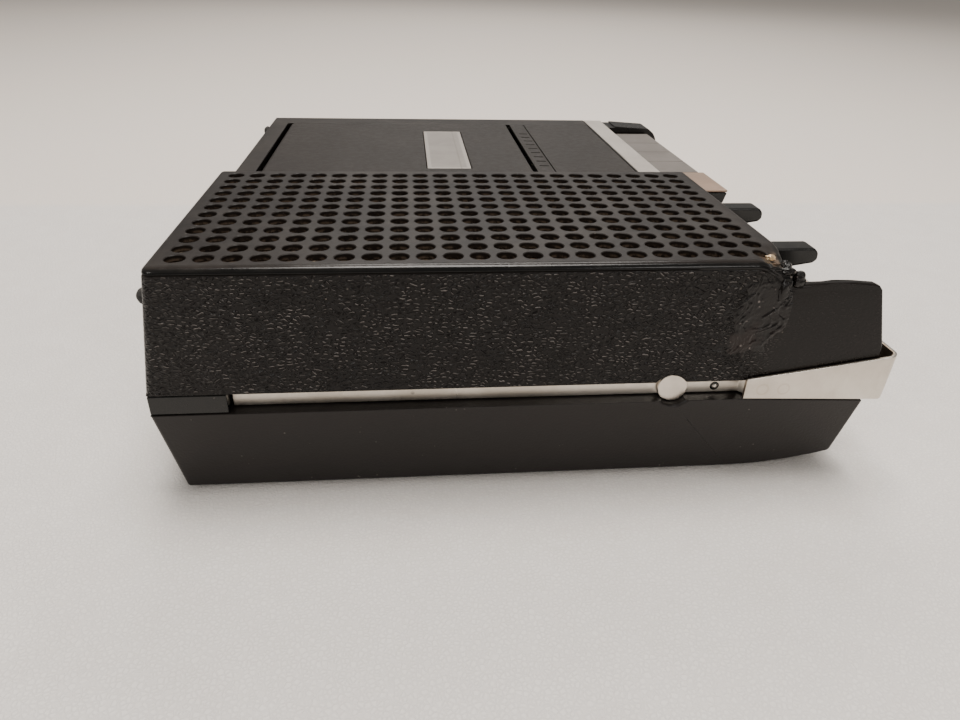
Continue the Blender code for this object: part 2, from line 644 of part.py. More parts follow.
def lower_casing():
    front_top = NOSE - LOWER_FRONT_SETBACK
    front_bottom = front_top - LOWER_FRONT_RAKE
    keel_start = front_bottom - KEEL_LENGTH
    outline = [(REAR + 0.15, LOWER_TOP), (REAR + LOWER_REAR_TAPER, FLOOR)]
    outline += keel_curve(KEEL_LENGTH, KEEL_RISE, keel_start, FLOOR, 5)
    outline += [(front_top, LOWER_TOP - LOWER_FRONT_DROP), (NOSE - NOSE_MOUTH, LOWER_TOP)]
    tray = tapered_prism("lower_casing", outline, 0.0, satin_plastic())

    ledge_bottom = LOWER_TOP - LEDGE_DEPTH
    inside = [(REAR + WALL + 1.0, ledge_bottom), (REAR + LOWER_REAR_TAPER + WALL, FLOOR + WALL)]
    inside += keel_curve(KEEL_LENGTH - WALL, KEEL_RISE, keel_start, FLOOR + WALL, 5)
    inside += [(front_top - WALL - 1.2, ledge_bottom)]
    cut(tray, tapered_prism("cut_tray", inside, WALL))
    mouth_y = (LEFT + LEDGE_WIDTH, RIGHT - LEDGE_WIDTH)
    cut(tray, box("cut_tray_mouth", (REAR + WALL + 2.0, front_top - WALL - 3.0), mouth_y,
                  (ledge_bottom - 1.0, LOWER_TOP + CUT)))
    for number, y in enumerate((LEFT, RIGHT)):
        cut(tray, cross_rod(f"cut_lower_notch_{number}", GUIDE_DISC_X, GUIDE_DISC_Z,
                            (y - ARM_RECESS, y + ARM_RECESS), GUIDE_DISC_RADIUS + FIT, sides=24))
    for number, (wall, inward) in enumerate(SIDE_WALLS):
        rib_y = sorted((wall + inward * (ARM_RECESS + ARM_THICKNESS + 0.5),
                        wall + inward * (LEDGE_WIDTH - 0.4)))
        fuse(tray, box(f"arm_rib_{number}", (REAR + PLUG_LENGTH + 4.0, GUIDE_DISC_X - 6.0), rib_y,
                       (LOWER_TOP - 1.0, UPPER_BOTTOM - 0.5)))

    plug_inset = ARM_RECESS + ARM_THICKNESS + 0.8
    fuse(tray, box("rear_riser", (REAR + 0.7, REAR + 3.2), (LEFT + plug_inset, RIGHT - plug_inset),
                   (LOWER_TOP - 2.0, UPPER_BOTTOM - FIT)))

    bay_x = (REAR + BAY_FROM_REAR, REAR + BAY_FROM_REAR + BAY_LENGTH)
    bay_y = (LEFT + BAY_FROM_LEFT, LEFT + BAY_FROM_LEFT + BAY_WIDTH)
    cut(tray, box("cut_bay", bay_x, bay_y, (FLOOR - CUT, FLOOR + WALL + 1.0)))
    for number, (y, outward) in enumerate(zip(bay_y, (-1, 1))):
        wall_y = sorted((y + outward * BAY_WALL / 2, y + outward * BAY_WALL * 3 / 2))
        fuse(tray, box(f"bay_wall_{number}", bay_x, wall_y, (FLOOR + 1.0, LOWER_TOP - 2.0)))
    for column, x in enumerate(SCREW_BOSS_XS):
        for row, y in enumerate(BOSS_YS):
            pillar_foot = FLOOR + 1.0 + 1.5 * column
            fuse(tray, upright_rod(f"pillar_{column}{row}", x, y, (pillar_foot, LOWER_TOP), BOSS_RADIUS,
                                   sides=8))
            cut(tray, upright_rod(f"cut_pillar_{column}{row}", x, y, (FLOOR - CUT, LOWER_TOP + CUT),
                                  SCREW_RADIUS + FIT, sides=8))
            cut(tray, upright_rod(f"cut_head_{column}{row}", x, y, (FLOOR - CUT, SCREW_HEAD_SEAT),
                                  SCREW_HEAD_RADIUS + 0.4, sides=8))
    for column, x in enumerate(POST_XS):
        for row, y in enumerate(POST_YS):
            fuse(tray, upright_rod(f"post_{column}{row}", x, y, (FLOOR + 1.2, PLATE_BOTTOM - FIT),
                                   POST_RADIUS, sides=8))


# ---- perforated grille and the cloth behind it ---------------------------------------------------------
def speaker_grille():
    base_z = TOP - GRILLE_THICKNESS
    lower = [(REAR_TOP, LEFT), (FASCIA, LEFT), (FASCIA, STEP), (REAR_TOP, STEP)]
    upper = [(REAR_TOP + GRILLE_BEVEL, LEFT + GRILLE_BEVEL), (FASCIA - GRILLE_BEVEL, LEFT + GRILLE_BEVEL),
             (FASCIA - GRILLE_BEVEL, STEP), (REAR_TOP + GRILLE_BEVEL, STEP)]
    rings = [[(x, y, base_z) for x, y in lower], [(x, y, TOP) for x, y in upper]]
    plate = loft("speaker_grille", rings, grille_plastic())
    columns = int((DECK_LENGTH - 2 * GRILLE_MARGIN) / HOLE_PITCH) + 1
    rows = int((SPEAKER_BLOCK_WIDTH - GRILLE_MARGIN - HOLE_RADIUS - 1.0) / HOLE_PITCH) + 1
    bm = bmesh.new()
    for column in range(columns):
        for row in range(rows):
            x = REAR_TOP + GRILLE_MARGIN + column * HOLE_PITCH
            y = LEFT + GRILLE_MARGIN + row * HOLE_PITCH
            ends = []
            for z in (base_z - CUT, TOP + CUT):
                ends.append([bm.verts.new((px, py, z)) for px, py in circle(x, y, HOLE_RADIUS, HOLE_SIDES)])
            bm.faces.new(ends[0])
            bm.faces.new(ends[1])
            for i in range(HOLE_SIDES):
                j = (i + 1) % HOLE_SIDES
                bm.faces.new((ends[0][i], ends[0][j], ends[1][j], ends[1][i]))
    cut(plate, add_object("cut_grille_holes", bm, None))


def grille_cloth():
    top = TOP - GRILLE_THICKNESS - FIT - 0.1
    box("grille_cloth", (REAR_TOP + WALL + 2.0, FASCIA - WALL - 1.5), (LEFT + WALL + 1.5, STEP - WALL - 1.0),
        (top - CLOTH_THICKNESS, top), cloth())


# ---- loudspeaker ---------------------------------------------------------------------------------------
def loudspeaker():
    outer = SPEAKER_RADIUS
    magnet = SPEAKER_MAGNET_RADIUS
    basket = RIM - SPEAKER_BASKET_DEPTH
    floor = basket - SPEAKER_METAL - 0.5
    frame = [(outer, RIM), (outer, RIM - SPEAKER_METAL), (outer - SPEAKER_FLANGE, RIM - SPEAKER_METAL),
             (magnet, basket), (magnet, floor), (SPEAKER_HUB_RADIUS, floor),
             (SPEAKER_HUB_RADIUS, floor + SPEAKER_METAL), (magnet - SPEAKER_METAL, floor + SPEAKER_METAL),
             (magnet - SPEAKER_METAL, basket + 0.5), (outer - SPEAKER_FLANGE - SPEAKER_METAL, RIM)]
    smooth(turned("speaker_frame", SPEAKER_X, SPEAKER_Y, frame, zinc_steel(), 20))
    cone_edge = outer - SPEAKER_EDGE
    cone_top = RIM - 0.4
    neck = RIM - CONE_DEPTH
    cap_top = neck + 2.5
    cone = [(cone_edge, cone_top), (CONE_NECK_RADIUS, neck), (SPEAKER_HUB_RADIUS, neck + 1.5), (0, cap_top),
            (0, cap_top - CONE_THICKNESS), (SPEAKER_HUB_RADIUS, neck + 1.5 - CONE_THICKNESS),
            (CONE_NECK_RADIUS, neck - CONE_THICKNESS), (cone_edge, cone_top - CONE_THICKNESS)]
    smooth(turned("speaker_cone", SPEAKER_X, SPEAKER_Y, cone, paper(), 20))
    magnet_top = floor - FIT
    upright_rod("speaker_magnet", SPEAKER_X, SPEAKER_Y, (magnet_top - MAGNET_HEIGHT, magnet_top), magnet,
                ferrite(), 20)


# ---- carrying handle: two side arms in the slots, joined by a bent band across the front ---------------
def handle():
    start = REAR + ARM_START
    band_rear = NOSE - NOSE_MOUTH
    joggle_end = band_rear + ARM_JOGGLE_END
    inner_offset = ARM_RECESS + ARM_THICKNESS
    outer_offset = BAND_THICKNESS - BAND_PROUD + FIT
    arm_front = band_rear + BAND_OVERLAP
    arm_heights = (LOWER_TOP + ARM_SLOT_GAP, UPPER_BOTTOM - ARM_SLOT_GAP)
    for name, (wall, inward) in zip(("handle_arm_left", "handle_arm_right"), SIDE_WALLS):
        outline = [(start, wall + inward * ARM_RECESS),
                   (joggle_end - ARM_JOGGLE, wall + inward * ARM_RECESS),
                   (joggle_end, wall + inward * outer_offset),
                   (arm_front, wall + inward * outer_offset),
                   (arm_front, wall + inward * (outer_offset + ARM_THICKNESS)),
                   (joggle_end + FIT, wall + inward * (outer_offset + ARM_THICKNESS)),
                   (joggle_end - ARM_JOGGLE + FIT, wall + inward * inner_offset),
                   (start, wall + inward * inner_offset)]
        flat_prism(name, outline, arm_heights, nickel_steel())

    outer_x = NOSE + HANDLE_CLEARANCE + BAND_THICKNESS
    outer_y = RIGHT + BAND_PROUD
    corner_x = outer_x - BAND_CORNER
    corner_y = outer_y - BAND_CORNER
    steps = 5
    outside = [(band_rear, -outer_y)]
    outside += arc(corner_x, -corner_y, BAND_CORNER, -90, 0, steps)
    outside += arc(corner_x, corner_y, BAND_CORNER, 0, 90, steps)
    outside += [(band_rear, outer_y)]
    inner_corner = BAND_CORNER - BAND_THICKNESS
    inside = [(band_rear, -outer_y + BAND_THICKNESS)]
    inside += arc(corner_x, -corner_y, inner_corner, -90, 0, steps)
    inside += arc(corner_x, corner_y, inner_corner, 0, 90, steps)
    inside += [(band_rear, outer_y - BAND_THICKNESS)]

    def band_heights(x):
        share = (x - band_rear) / (outer_x - band_rear)
        low = BAND_REAR_BOTTOM + (BAND_FRONT_BOTTOM - BAND_REAR_BOTTOM) * share
        high = BAND_REAR_TOP + (BAND_FRONT_TOP - BAND_REAR_TOP) * share
        return low, high

    rings = []
    for (ox, oy), (ix, iy) in zip(outside, inside):
        low, high = band_heights(ox)
        rings.append([(ox, oy, low), (ox, oy, high), (ix, iy, high), (ix, iy, low)])
    smooth(loft("handle_band", rings, nickel_steel()))


def slot_fittings():
    for name, (wall, inward) in zip(("left", "right"), SIDE_WALLS):
        plug_y = sorted((wall + inward * FIT, wall + inward * (ARM_RECESS + ARM_THICKNESS + 0.4)))
        box(f"slot_plug_{name}", (REAR + 0.4, REAR + PLUG_LENGTH), plug_y,
            (LOWER_TOP + FIT, UPPER_BOTTOM - FIT), gloss_plastic())
        disc_back = ARM_RECESS - FIT
        disc_y = sorted((wall + inward * (disc_back - GUIDE_DISC_THICKNESS), wall + inward * disc_back))
        cross_rod(f"guide_disc_{name}", GUIDE_DISC_X, GUIDE_DISC_Z, disc_y, GUIDE_DISC_RADIUS,
                  nickel_steel(), 24)


# ---- rear buffers, feet and case screws ----------------------------------------------------------------
def rear_buffers():
    face = rear_wall_x(BUFFER_HEIGHT - BUFFER_RADIUS) - FIT
    dome = [(0, -BUFFER_STEM), (BUFFER_STEM_RADIUS, -BUFFER_STEM), (BUFFER_STEM_RADIUS, 0.0),
            (BUFFER_RADIUS, 0.0), (BUFFER_RADIUS, BUFFER_HEAD * 0.27),
            (BUFFER_RADIUS * 0.8, BUFFER_HEAD * 0.65), (BUFFER_RADIUS * 0.4, BUFFER_HEAD * 0.92),
            (0, BUFFER_HEAD)]
    for name, y in zip(("rear_buffer_left", "rear_buffer_right"), BUFFER_YS):
        made = lay_along_x(turned(name, 0.0, 0.0, dome, rubber(), 10), -1)
        smooth(move(made, face, y, BUFFER_HEIGHT))


def feet_and_screws():
    for end, x in zip(("rear", "front"), FOOT_XS):
        for side, y in (("left", LEFT + FOOT_INSET), ("right", RIGHT - FOOT_INSET)):
            upright_rod(f"foot_{end}_{side}", x, y, (0.0, FOOT_HEIGHT - FIT), FOOT_RADIUS, rubber(), 12)
    for end, x in zip(("rear", "front"), SCREW_BOSS_XS):
        for side, y in zip(("left", "right"), BOSS_YS):
            seat = SCREW_HEAD_SEAT - FIT
            head = seat - SCREW_HEAD_HEIGHT
            tip = LOWER_TOP + SCREW_REACH
            screw = [(0, head), (SCREW_HEAD_RADIUS, head), (SCREW_HEAD_RADIUS, seat), (SCREW_RADIUS, seat),
                     (SCREW_RADIUS, tip), (0, tip)]
            turned(f"case_screw_{end}_{side}", x, y, screw, zinc_steel(), 8)


# ---- panels on the deck --------------------------------------------------------------------------------
def deck_panels():
    floor_z = DECK - 1.5 + FIT
    across = (LID_LEFT, LID_RIGHT)
    strip = box("grip_strip", (GRIP_START + 0.2, HEAD_COVER_START - 0.2), across, (floor_z, DECK), panel_plastic())
    for i in range(GRIP_GROOVES):
        middle = CASSETTE_MIDDLE + (i - (GRIP_GROOVES - 1) / 2) * GRIP_GROOVE_PITCH
        groove_y = (middle - GRIP_GROOVE_WIDTH / 2, middle + GRIP_GROOVE_WIDTH / 2)
        cut(strip, box(f"cut_grip_groove_{i + 1}", (GRIP_START + 2.4, HEAD_COVER_START - 1.2), groove_y,
                       (DECK - GRIP_GROOVE_DEPTH, DECK + 1.0)))
    box("head_cover", (HEAD_COVER_START + 0.2, TRIM_START - FIT), across, (floor_z, DECK), panel_plastic())
    box("front_trim", (TRIM_START + 0.6 + FIT, FASCIA), (STEP + 2 * FIT, RIGHT - 0.6),
        (DECK - 1.0 + FIT, DECK), bright_trim())


# ---- cassette lid with its window and hinge pins -------------------------------------------------------
def cassette_lid():
    outline = arc(HINGE_X, HINGE_Z, LID_BEAD, 90, 270, 6)
    outline += [(HINGE_X + 2.0, DECK - LID_THICKNESS), (LID_FRONT - LID_LIP, DECK - LID_THICKNESS),
                (LID_FRONT - LID_LIP, DECK - LID_LIP_DEPTH), (LID_FRONT, DECK - LID_LIP_DEPTH),
                (LID_FRONT, DECK)]
    lid = side_prism("cassette_lid", outline, (LID_LEFT, LID_RIGHT), panel_plastic())
    window_x = (LID_FRONT - WINDOW_FROM_FRONT - WINDOW_LENGTH, LID_FRONT - WINDOW_FROM_FRONT)
    window_y = (CASSETTE_MIDDLE - WINDOW_WIDTH / 2, CASSETTE_MIDDLE + WINDOW_WIDTH / 2)
    seat = DECK - WINDOW_THICKNESS - FIT
    cut(lid, box("cut_window_seat", window_x, window_y, (seat, TOP)))
    cut(lid, box("cut_window_light", (window_x[0] + WINDOW_REBATE, window_x[1] - WINDOW_REBATE),
                 (window_y[0] + WINDOW_REBATE, window_y[1] - WINDOW_REBATE), (seat - CUT, TOP + 1.0)))
    window = box("lid_window", (window_x[0] + FIT, window_x[1] - FIT), (window_y[0] + FIT, window_y[1] - FIT),
                 (seat + FIT, DECK), window_grey())
    for name, edge, outward in (("left", LID_LEFT, -1), ("right", LID_RIGHT, 1)):
        bore_y = sorted((edge + outward * 2.0, edge - outward * (HINGE_PIN_GRIP + FIT)))
        cut(lid, cross_rod(f"cut_lid_bore_{name}", HINGE_X, HINGE_Z, bore_y, HINGE_PIN_RADIUS + RUNNING,
                           sides=8))
        pin_y = sorted((edge + outward * 4.4, edge - outward * HINGE_PIN_GRIP))
        cross_rod(f"lid_hinge_pin_{name}", HINGE_X, HINGE_Z, pin_y, HINGE_PIN_RADIUS, zinc_steel(), 8)
    set_origin(lid, HINGE_X, CASSETTE_MIDDLE, HINGE_Z)
    set_origin(window, HINGE_X, CASSETTE_MIDDLE, HINGE_Z)


# ---- keys on their shaft -------------------------------------------------------------------------------
def keys():
    y = KEY_LEFT
    for name, width in zip(KEY_NAMES, KEY_WIDTHS):
        front = FASCIA + KEY_REACH
        if name == "record":
            front += RECORD_KEY_EXTRA
        cap_floor = KEY_TOP - KEY_CAP_THICKNESS - FIT
        cap_start = FASCIA + KEY_CAP_START
        eye = arc(KEY_PIVOT_X, KEY_PIVOT_Z, KEY_EYE_RADIUS, 100, 280, 6)
        outline = eye + [(FASCIA - 2.0, KEY_PIVOT_Z - 0.4), (FASCIA + 8.0, KEY_PIVOT_Z - 0.8),
                         (front - KEY_BELLY, KEY_TOP - KEY_BELLY_DEPTH),
                         (front - KEY_UNDERCUT, KEY_TOP - KEY_FRONT_DEPTH), (front, cap_floor),
                         (cap_start - FIT, cap_floor), (cap_start - FIT, KEY_TOP - 0.3),
                         (FASCIA - 8.0, KEY_TOP - 0.3)]
        half_gap = KEY_GAP / 2
        key = side_prism(f"{name}_key", outline, (y + half_gap, y + width - half_gap), gloss_plastic())
        cut(key, cross_rod(f"cut_{name}_eye", KEY_PIVOT_X, KEY_PIVOT_Z, (y - 1.0, y + width + 1.0),
                           KEY_SHAFT_RADIUS + RUNNING, sides=8))
        finish = copper_cap() if name == "record" else grey_cap()
        cap = box(f"{name}_key_cap", (cap_start, front), (y + half_gap, y + width - half_gap),
                  (cap_floor + FIT, KEY_TOP), finish)
        set_origin(key, KEY_PIVOT_X, y + width / 2, KEY_PIVOT_Z)
        set_origin(cap, KEY_PIVOT_X, y + width / 2, KEY_PIVOT_Z)
        y += width
    cross_rod("key_shaft", KEY_PIVOT_X, KEY_PIVOT_Z, (KEY_LEFT - KEY_GRIP_WIDTH, KEY_RIGHT + KEY_GRIP_WIDTH),
              KEY_SHAFT_RADIUS,
              zinc_steel(), 8)


# ---- slide controls: a tab outside, and its potentiometer behind the fascia ----------------------------
def slide_controls():
    stem_z = DECK - TAB_THICKNESS / 2 - 1.0
    for name, centre, leftwards, rightwards in SLIDERS:
        y = LEFT + centre
        half = TAB_WIDTH / 2
        end = FASCIA + TAB_REACH
        root = FASCIA - WALL - 0.2
        side = [(root, DECK), (end - 1.5, DECK), (end, DECK - 1.5), (end, DECK - TAB_THICKNESS + 1.0),
                (end - 1.0, DECK - TAB_THICKNESS), (FASCIA + 4.0, DECK - TAB_THICKNESS - TAB_ROOT_EXTRA),
                (root, DECK - TAB_THICKNESS - TAB_ROOT_EXTRA)]
        tab = side_prism(f"{name}_slider", side, (y - half, y + half), gloss_plastic())
        fuse(tab, box(f"{name}_stem", (FASCIA - WALL - 4.0, FASCIA - 1.0),
                      (y - STEM_WIDTH / 2, y + STEM_WIDTH / 2),
                      (stem_z - STEM_THICKNESS / 2, stem_z + STEM_THICKNESS / 2)))
        set_origin(tab, FASCIA, y, stem_z)
        pot_front = FASCIA - WALL - 0.6
        reach = STEM_WIDTH / 2 + 0.6
        slot_y = (y - leftwards - reach, y + rightwards + reach)
        pot_z = (stem_z - POT_HEIGHT / 2 - 1.0, stem_z + POT_HEIGHT / 2 - 1.0)
        pot = box(f"{name}_pot", (pot_front - POT_LENGTH, pot_front), (slot_y[0] - 3.0, slot_y[1] + 3.0),
                  pot_z, zinc_steel())
        cut(pot, box(f"cut_{name}_pot", (FASCIA - WALL - 5.0, FASCIA), slot_y,
                     (stem_z - STEM_THICKNESS / 2 - 0.5, stem_z + STEM_THICKNESS / 2 + 0.5)))


# ---- tape mechanism ------------------------------------------------------------------------------------
def cassette_well():
    x = (LID_REAR + 8.0, LID_FRONT - LID_LIP - 0.9)
    y = (LID_LEFT + 0.6, LID_RIGHT - 0.6)
    well = box("cassette_well", x, y, (WELL_FLOOR, WELL_TOP), satin_plastic())
    cut(well, box("cut_well", (x[0] + WELL_WALL, x[1] - WELL_WALL), (y[0] + WELL_WALL, y[1] - WELL_WALL),
                  (WELL_FLOOR + WELL_WALL, TOP)))
    for name, side in (("supply", -1), ("takeup", 1)):
        cut(well, upright_rod(f"cut_{name}_hole", HUB_X, CASSETTE_MIDDLE + side * HUB_SPACING / 2,
                              (WELL_FLOOR - CUT, WELL_FLOOR + CUT), SPINDLE_HUB_RADIUS + 1.6, sides=12))
    cut(well, box("cut_head_gate", (CASSETTE_FRONT - 15.0, LID_FRONT),
                  (CASSETTE_MIDDLE - 35.0, CASSETTE_MIDDLE + 38.0), (WELL_FLOOR - CUT, TOP + 1.0)))
    for column, px in enumerate((x[0] + 6.0, HUB_X)):
        for row, py in enumerate((y[0] + 4.0, y[1] - 4.0)):
            foot = PLATE_TOP + FIT if column else PLATE_TOP - 2.0
            fuse(well, upright_rod(f"well_foot_{column}{row}", px, py, (foot, WELL_FLOOR + 0.8), 2.5,
                                   sides=8))


def mechanism_plate():
    x = (HUB_X - 29.0, FASCIA - 7.8)
    y = (KEY_LEFT - 3.6, KEY_RIGHT + 3.6)
    plate = box("mechanism_plate", x, y, (PLATE_BOTTOM, PLATE_TOP), zinc_steel())
    for name, side in (("supply", -1), ("takeup", 1)):
        cut(plate, upright_rod(f"cut_{name}_bearing", HUB_X, CASSETTE_MIDDLE + side * HUB_SPACING / 2,
                               (PLATE_BOTTOM - CUT, PLATE_TOP + CUT), SPINDLE_SHAFT_RADIUS + RUNNING,
                               sides=10))
    cut(plate, upright_rod("cut_capstan_bearing", CAPSTAN_X, CAPSTAN_Y, (PLATE_BOTTOM - CUT, PLATE_TOP + CUT),
                           CAPSTAN_RADIUS + RUNNING, sides=10))
    for number, (edge, inward) in enumerate(((y[0], 1), (y[1], -1))):
        ear_y = sorted((edge + inward * 0.4, edge + inward * 2.4))
        fuse(plate, box(f"key_ear_{number}", (KEY_PIVOT_X - 4.5, KEY_PIVOT_X + 4.5), ear_y,
                        (PLATE_BOTTOM + 0.5, KEY_PIVOT_Z + 4.5)))
        hole_y = sorted((edge - inward * 2.0, edge + inward * 3.4))
        cut(plate, cross_rod(f"cut_key_ear_{number}", KEY_PIVOT_X, KEY_PIVOT_Z, hole_y,
                             KEY_SHAFT_RADIUS + FIT, sides=8))
    for number, offset in enumerate((-24.0, 24.0)):
        pad_y = (CASSETTE_MIDDLE + offset - 2.0, CASSETTE_MIDDLE + offset + 2.0)
        fuse(plate, box(f"head_pad_{number}", (HEAD_X + 5.0, HEAD_X + 21.0), pad_y,
                        (PLATE_BOTTOM + 0.5, HEAD_PLATE_Z - FIT)))


def head_assembly():
    plate_top = HEAD_PLATE_Z + HEAD_PLATE_THICKNESS
    plate = box("head_plate", (HEAD_X, HEAD_X + HEAD_PLATE_LENGTH),
                (CASSETTE_MIDDLE - HEAD_PLATE_LEFT, CASSETTE_MIDDLE + HEAD_PLATE_RIGHT),
                (HEAD_PLATE_Z, plate_top), zinc_steel())
    fuse(plate, upright_rod("roller_pin", ROLLER_X, CAPSTAN_Y, (HEAD_PLATE_Z + 0.6, ROLLER_TOP + 1.0),
                            ROLLER_PIN_RADIUS, sides=8))
    front = HEAD_X + 0.5
    back = front + HEAD_LENGTH
    half = HEAD_HALF_WIDTH
    nose = [(back, CASSETTE_MIDDLE - half), (front + 3.0, CASSETTE_MIDDLE - half)]
    nose += arc(front + half, CASSETTE_MIDDLE, half, 215, 145, 4)
    nose += [(front + 3.0, CASSETTE_MIDDLE + half), (back, CASSETTE_MIDDLE + half)]
    head = flat_prism("play_head", nose, (plate_top + FIT, MECHANISM_TOP), nickel_steel())
    bore = ROLLER_PIN_RADIUS + RUNNING
    roller = turned("pinch_roller", ROLLER_X, CAPSTAN_Y,
                    [(bore, ROLLER_BOTTOM), (ROLLER_RADIUS, ROLLER_BOTTOM), (ROLLER_RADIUS, ROLLER_TOP),
                     (bore, ROLLER_TOP)], rubber(), 12)
    for moving in (plate, head):
        set_origin(moving, HEAD_X, CASSETTE_MIDDLE, HEAD_PLATE_Z)
    set_origin(roller, ROLLER_X, CAPSTAN_Y, (ROLLER_BOTTOM + ROLLER_TOP) / 2)


def drive():
    low = FLYWHEEL_BOTTOM
    high = low + FLYWHEEL_HEIGHT
    wheel = [(0, low - 1.2), (CAPSTAN_RADIUS, low - 1.2), (CAPSTAN_RADIUS, low), (FLYWHEEL_RADIUS, low),
             (FLYWHEEL_RADIUS, high), (CAPSTAN_RADIUS, high), (CAPSTAN_RADIUS, MECHANISM_TOP),
             (0, MECHANISM_TOP)]
    set_origin(turned("flywheel", CAPSTAN_X, CAPSTAN_Y, wheel, brass(), 24), CAPSTAN_X, CAPSTAN_Y, low)

    motor_x = FASCIA - MOTOR_FROM_FASCIA
    motor_y = LID_LEFT + MOTOR_FROM_LID_LEFT
    can = [(0, low - 0.4), (MOTOR_SHAFT_RADIUS, low - 0.4), (MOTOR_SHAFT_RADIUS, high + 2.5),
           (MOTOR_RADIUS, high + 2.5), (MOTOR_RADIUS, PLATE_BOTTOM - FIT), (0, PLATE_BOTTOM - FIT)]
    turned("motor", motor_x, motor_y, can, zinc_steel(), 16)
    bore = MOTOR_SHAFT_RADIUS + RUNNING
    pulley = turned("motor_pulley", motor_x, motor_y, [(bore, low), (PULLEY_RADIUS, low),
                                                       (PULLEY_RADIUS, high), (bore, high)], brass(), 12)
    set_origin(pulley, motor_x, motor_y, low)

    distance = math.hypot(motor_x - CAPSTAN_X, motor_y - CAPSTAN_Y)
    heading = math.degrees(math.atan2(motor_y - CAPSTAN_Y, motor_x - CAPSTAN_X))
    swing = math.degrees(math.acos((FLYWHEEL_RADIUS - PULLEY_RADIUS) / distance))

    def belt_loop(offset):
        loop = arc(CAPSTAN_X, CAPSTAN_Y, FLYWHEEL_RADIUS + offset, heading + swing, heading + 360 - swing, 18)
        loop += arc(motor_x, motor_y, PULLEY_RADIUS + offset, heading - swing, heading + swing, 6)
        return loop

    belt_z = ((low + high - BELT_WIDTH) / 2, (low + high + BELT_WIDTH) / 2)
    belt = flat_prism("drive_belt", belt_loop(FIT + BELT_THICKNESS), belt_z, rubber())
    cut(belt, flat_prism("cut_belt", belt_loop(FIT), (belt_z[0] - 1.0, belt_z[1] + 1.0)))

    for name, side in (("supply_spindle", -1), ("takeup_spindle", 1)):
        y = CASSETTE_MIDDLE + side * HUB_SPACING / 2
        foot = PLATE_BOTTOM - 2.0
        flange = PLATE_TOP + 2 * FIT
        flange_top = flange + SPINDLE_FLANGE_THICKNESS
        shape = [(0, foot), (SPINDLE_SHAFT_RADIUS, foot), (SPINDLE_SHAFT_RADIUS, flange),
                 (SPINDLE_FLANGE_RADIUS, flange), (SPINDLE_FLANGE_RADIUS, flange_top),
                 (SPINDLE_HUB_RADIUS, flange_top), (SPINDLE_HUB_RADIUS, SPINDLE_SHOULDER),
                 (SPINDLE_TIP_RADIUS, SPINDLE_TIP), (0, SPINDLE_TIP)]
        set_origin(turned(name, HUB_X, y, shape, gloss_plastic(), 12), HUB_X, y, PLATE_TOP)


# ---- electronics, socket and battery door --------------------------------------------------------------
def electronics():
    x = (REAR + 12.0, HUB_X - 34.0)
    y = (LID_LEFT + 6.0, LID_RIGHT - 4.0)
    board_top = BOARD_BOTTOM + BOARD_THICKNESS
    board = box("circuit_board", x, y, (BOARD_BOTTOM, board_top), board_green())
    for name, dx, dy, size, height in BOARD_COMPONENTS:
        fuse(board, box(name, (x[0] + dx - size, x[0] + dx + size), (y[0] + dy - size, y[0] + dy + size),
                        (board_top - BOARD_THICKNESS / 2, board_top + height)))
    barrel = [(0, 0.0), (SOCKET_RADIUS, 0.0), (SOCKET_RADIUS, SOCKET_DEPTH), (SOCKET_BORE, SOCKET_DEPTH),
              (SOCKET_BORE, SOCKET_FLOOR), (0, SOCKET_FLOOR)]
    socket = lay_along_y(turned("signal_socket", 0.0, 0.0, barrel, gloss_plastic(), 16), 1)
    move(socket, REAR + SOCKET_FROM_REAR, RIGHT - FIT - SOCKET_DEPTH, SOCKET_HEIGHT)


def battery_door():
    x = (REAR + BAY_FROM_REAR + DOOR_GAP, REAR + BAY_FROM_REAR + BAY_LENGTH - DOOR_GAP)
    y = (LEFT + BAY_FROM_LEFT + DOOR_GAP, LEFT + BAY_FROM_LEFT + BAY_WIDTH - DOOR_GAP)
    door = box("battery_door", x, y, (FLOOR, FLOOR + DOOR_THICKNESS), satin_plastic())
    set_origin(door, x[0] + DOOR_THICKNESS / 2, (y[0] + y[1]) / 2, FLOOR + DOOR_THICKNESS / 2)


upper_casing()
lower_casing()
speaker_grille()
grille_cloth()
loudspeaker()
handle()
slot_fittings()
rear_buffers()
feet_and_screws()
deck_panels()
cassette_lid()
keys()
slide_controls()
cassette_well()
mechanism_plate()
head_assembly()
drive()
electronics()
battery_door()
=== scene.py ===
"""Looks of a portable cassette tape recorder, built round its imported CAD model. Metres, +X front, +Z up."""
import math

import bmesh
import bpy
from mathutils import Matrix, Vector, noise


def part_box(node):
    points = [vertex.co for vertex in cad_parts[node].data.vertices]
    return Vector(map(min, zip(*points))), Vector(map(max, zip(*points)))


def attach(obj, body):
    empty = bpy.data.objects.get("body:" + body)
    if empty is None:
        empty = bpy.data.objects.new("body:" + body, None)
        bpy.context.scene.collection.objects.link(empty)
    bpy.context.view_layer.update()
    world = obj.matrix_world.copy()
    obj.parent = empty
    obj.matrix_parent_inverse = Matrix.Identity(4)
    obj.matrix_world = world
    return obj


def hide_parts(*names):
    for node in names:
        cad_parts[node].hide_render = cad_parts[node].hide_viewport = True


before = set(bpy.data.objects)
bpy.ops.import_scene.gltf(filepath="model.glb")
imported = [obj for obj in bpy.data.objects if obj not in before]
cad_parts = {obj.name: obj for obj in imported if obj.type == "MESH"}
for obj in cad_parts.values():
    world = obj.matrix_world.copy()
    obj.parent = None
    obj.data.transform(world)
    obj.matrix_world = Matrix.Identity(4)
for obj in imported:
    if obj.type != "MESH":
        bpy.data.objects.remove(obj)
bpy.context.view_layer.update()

MM = 0.001


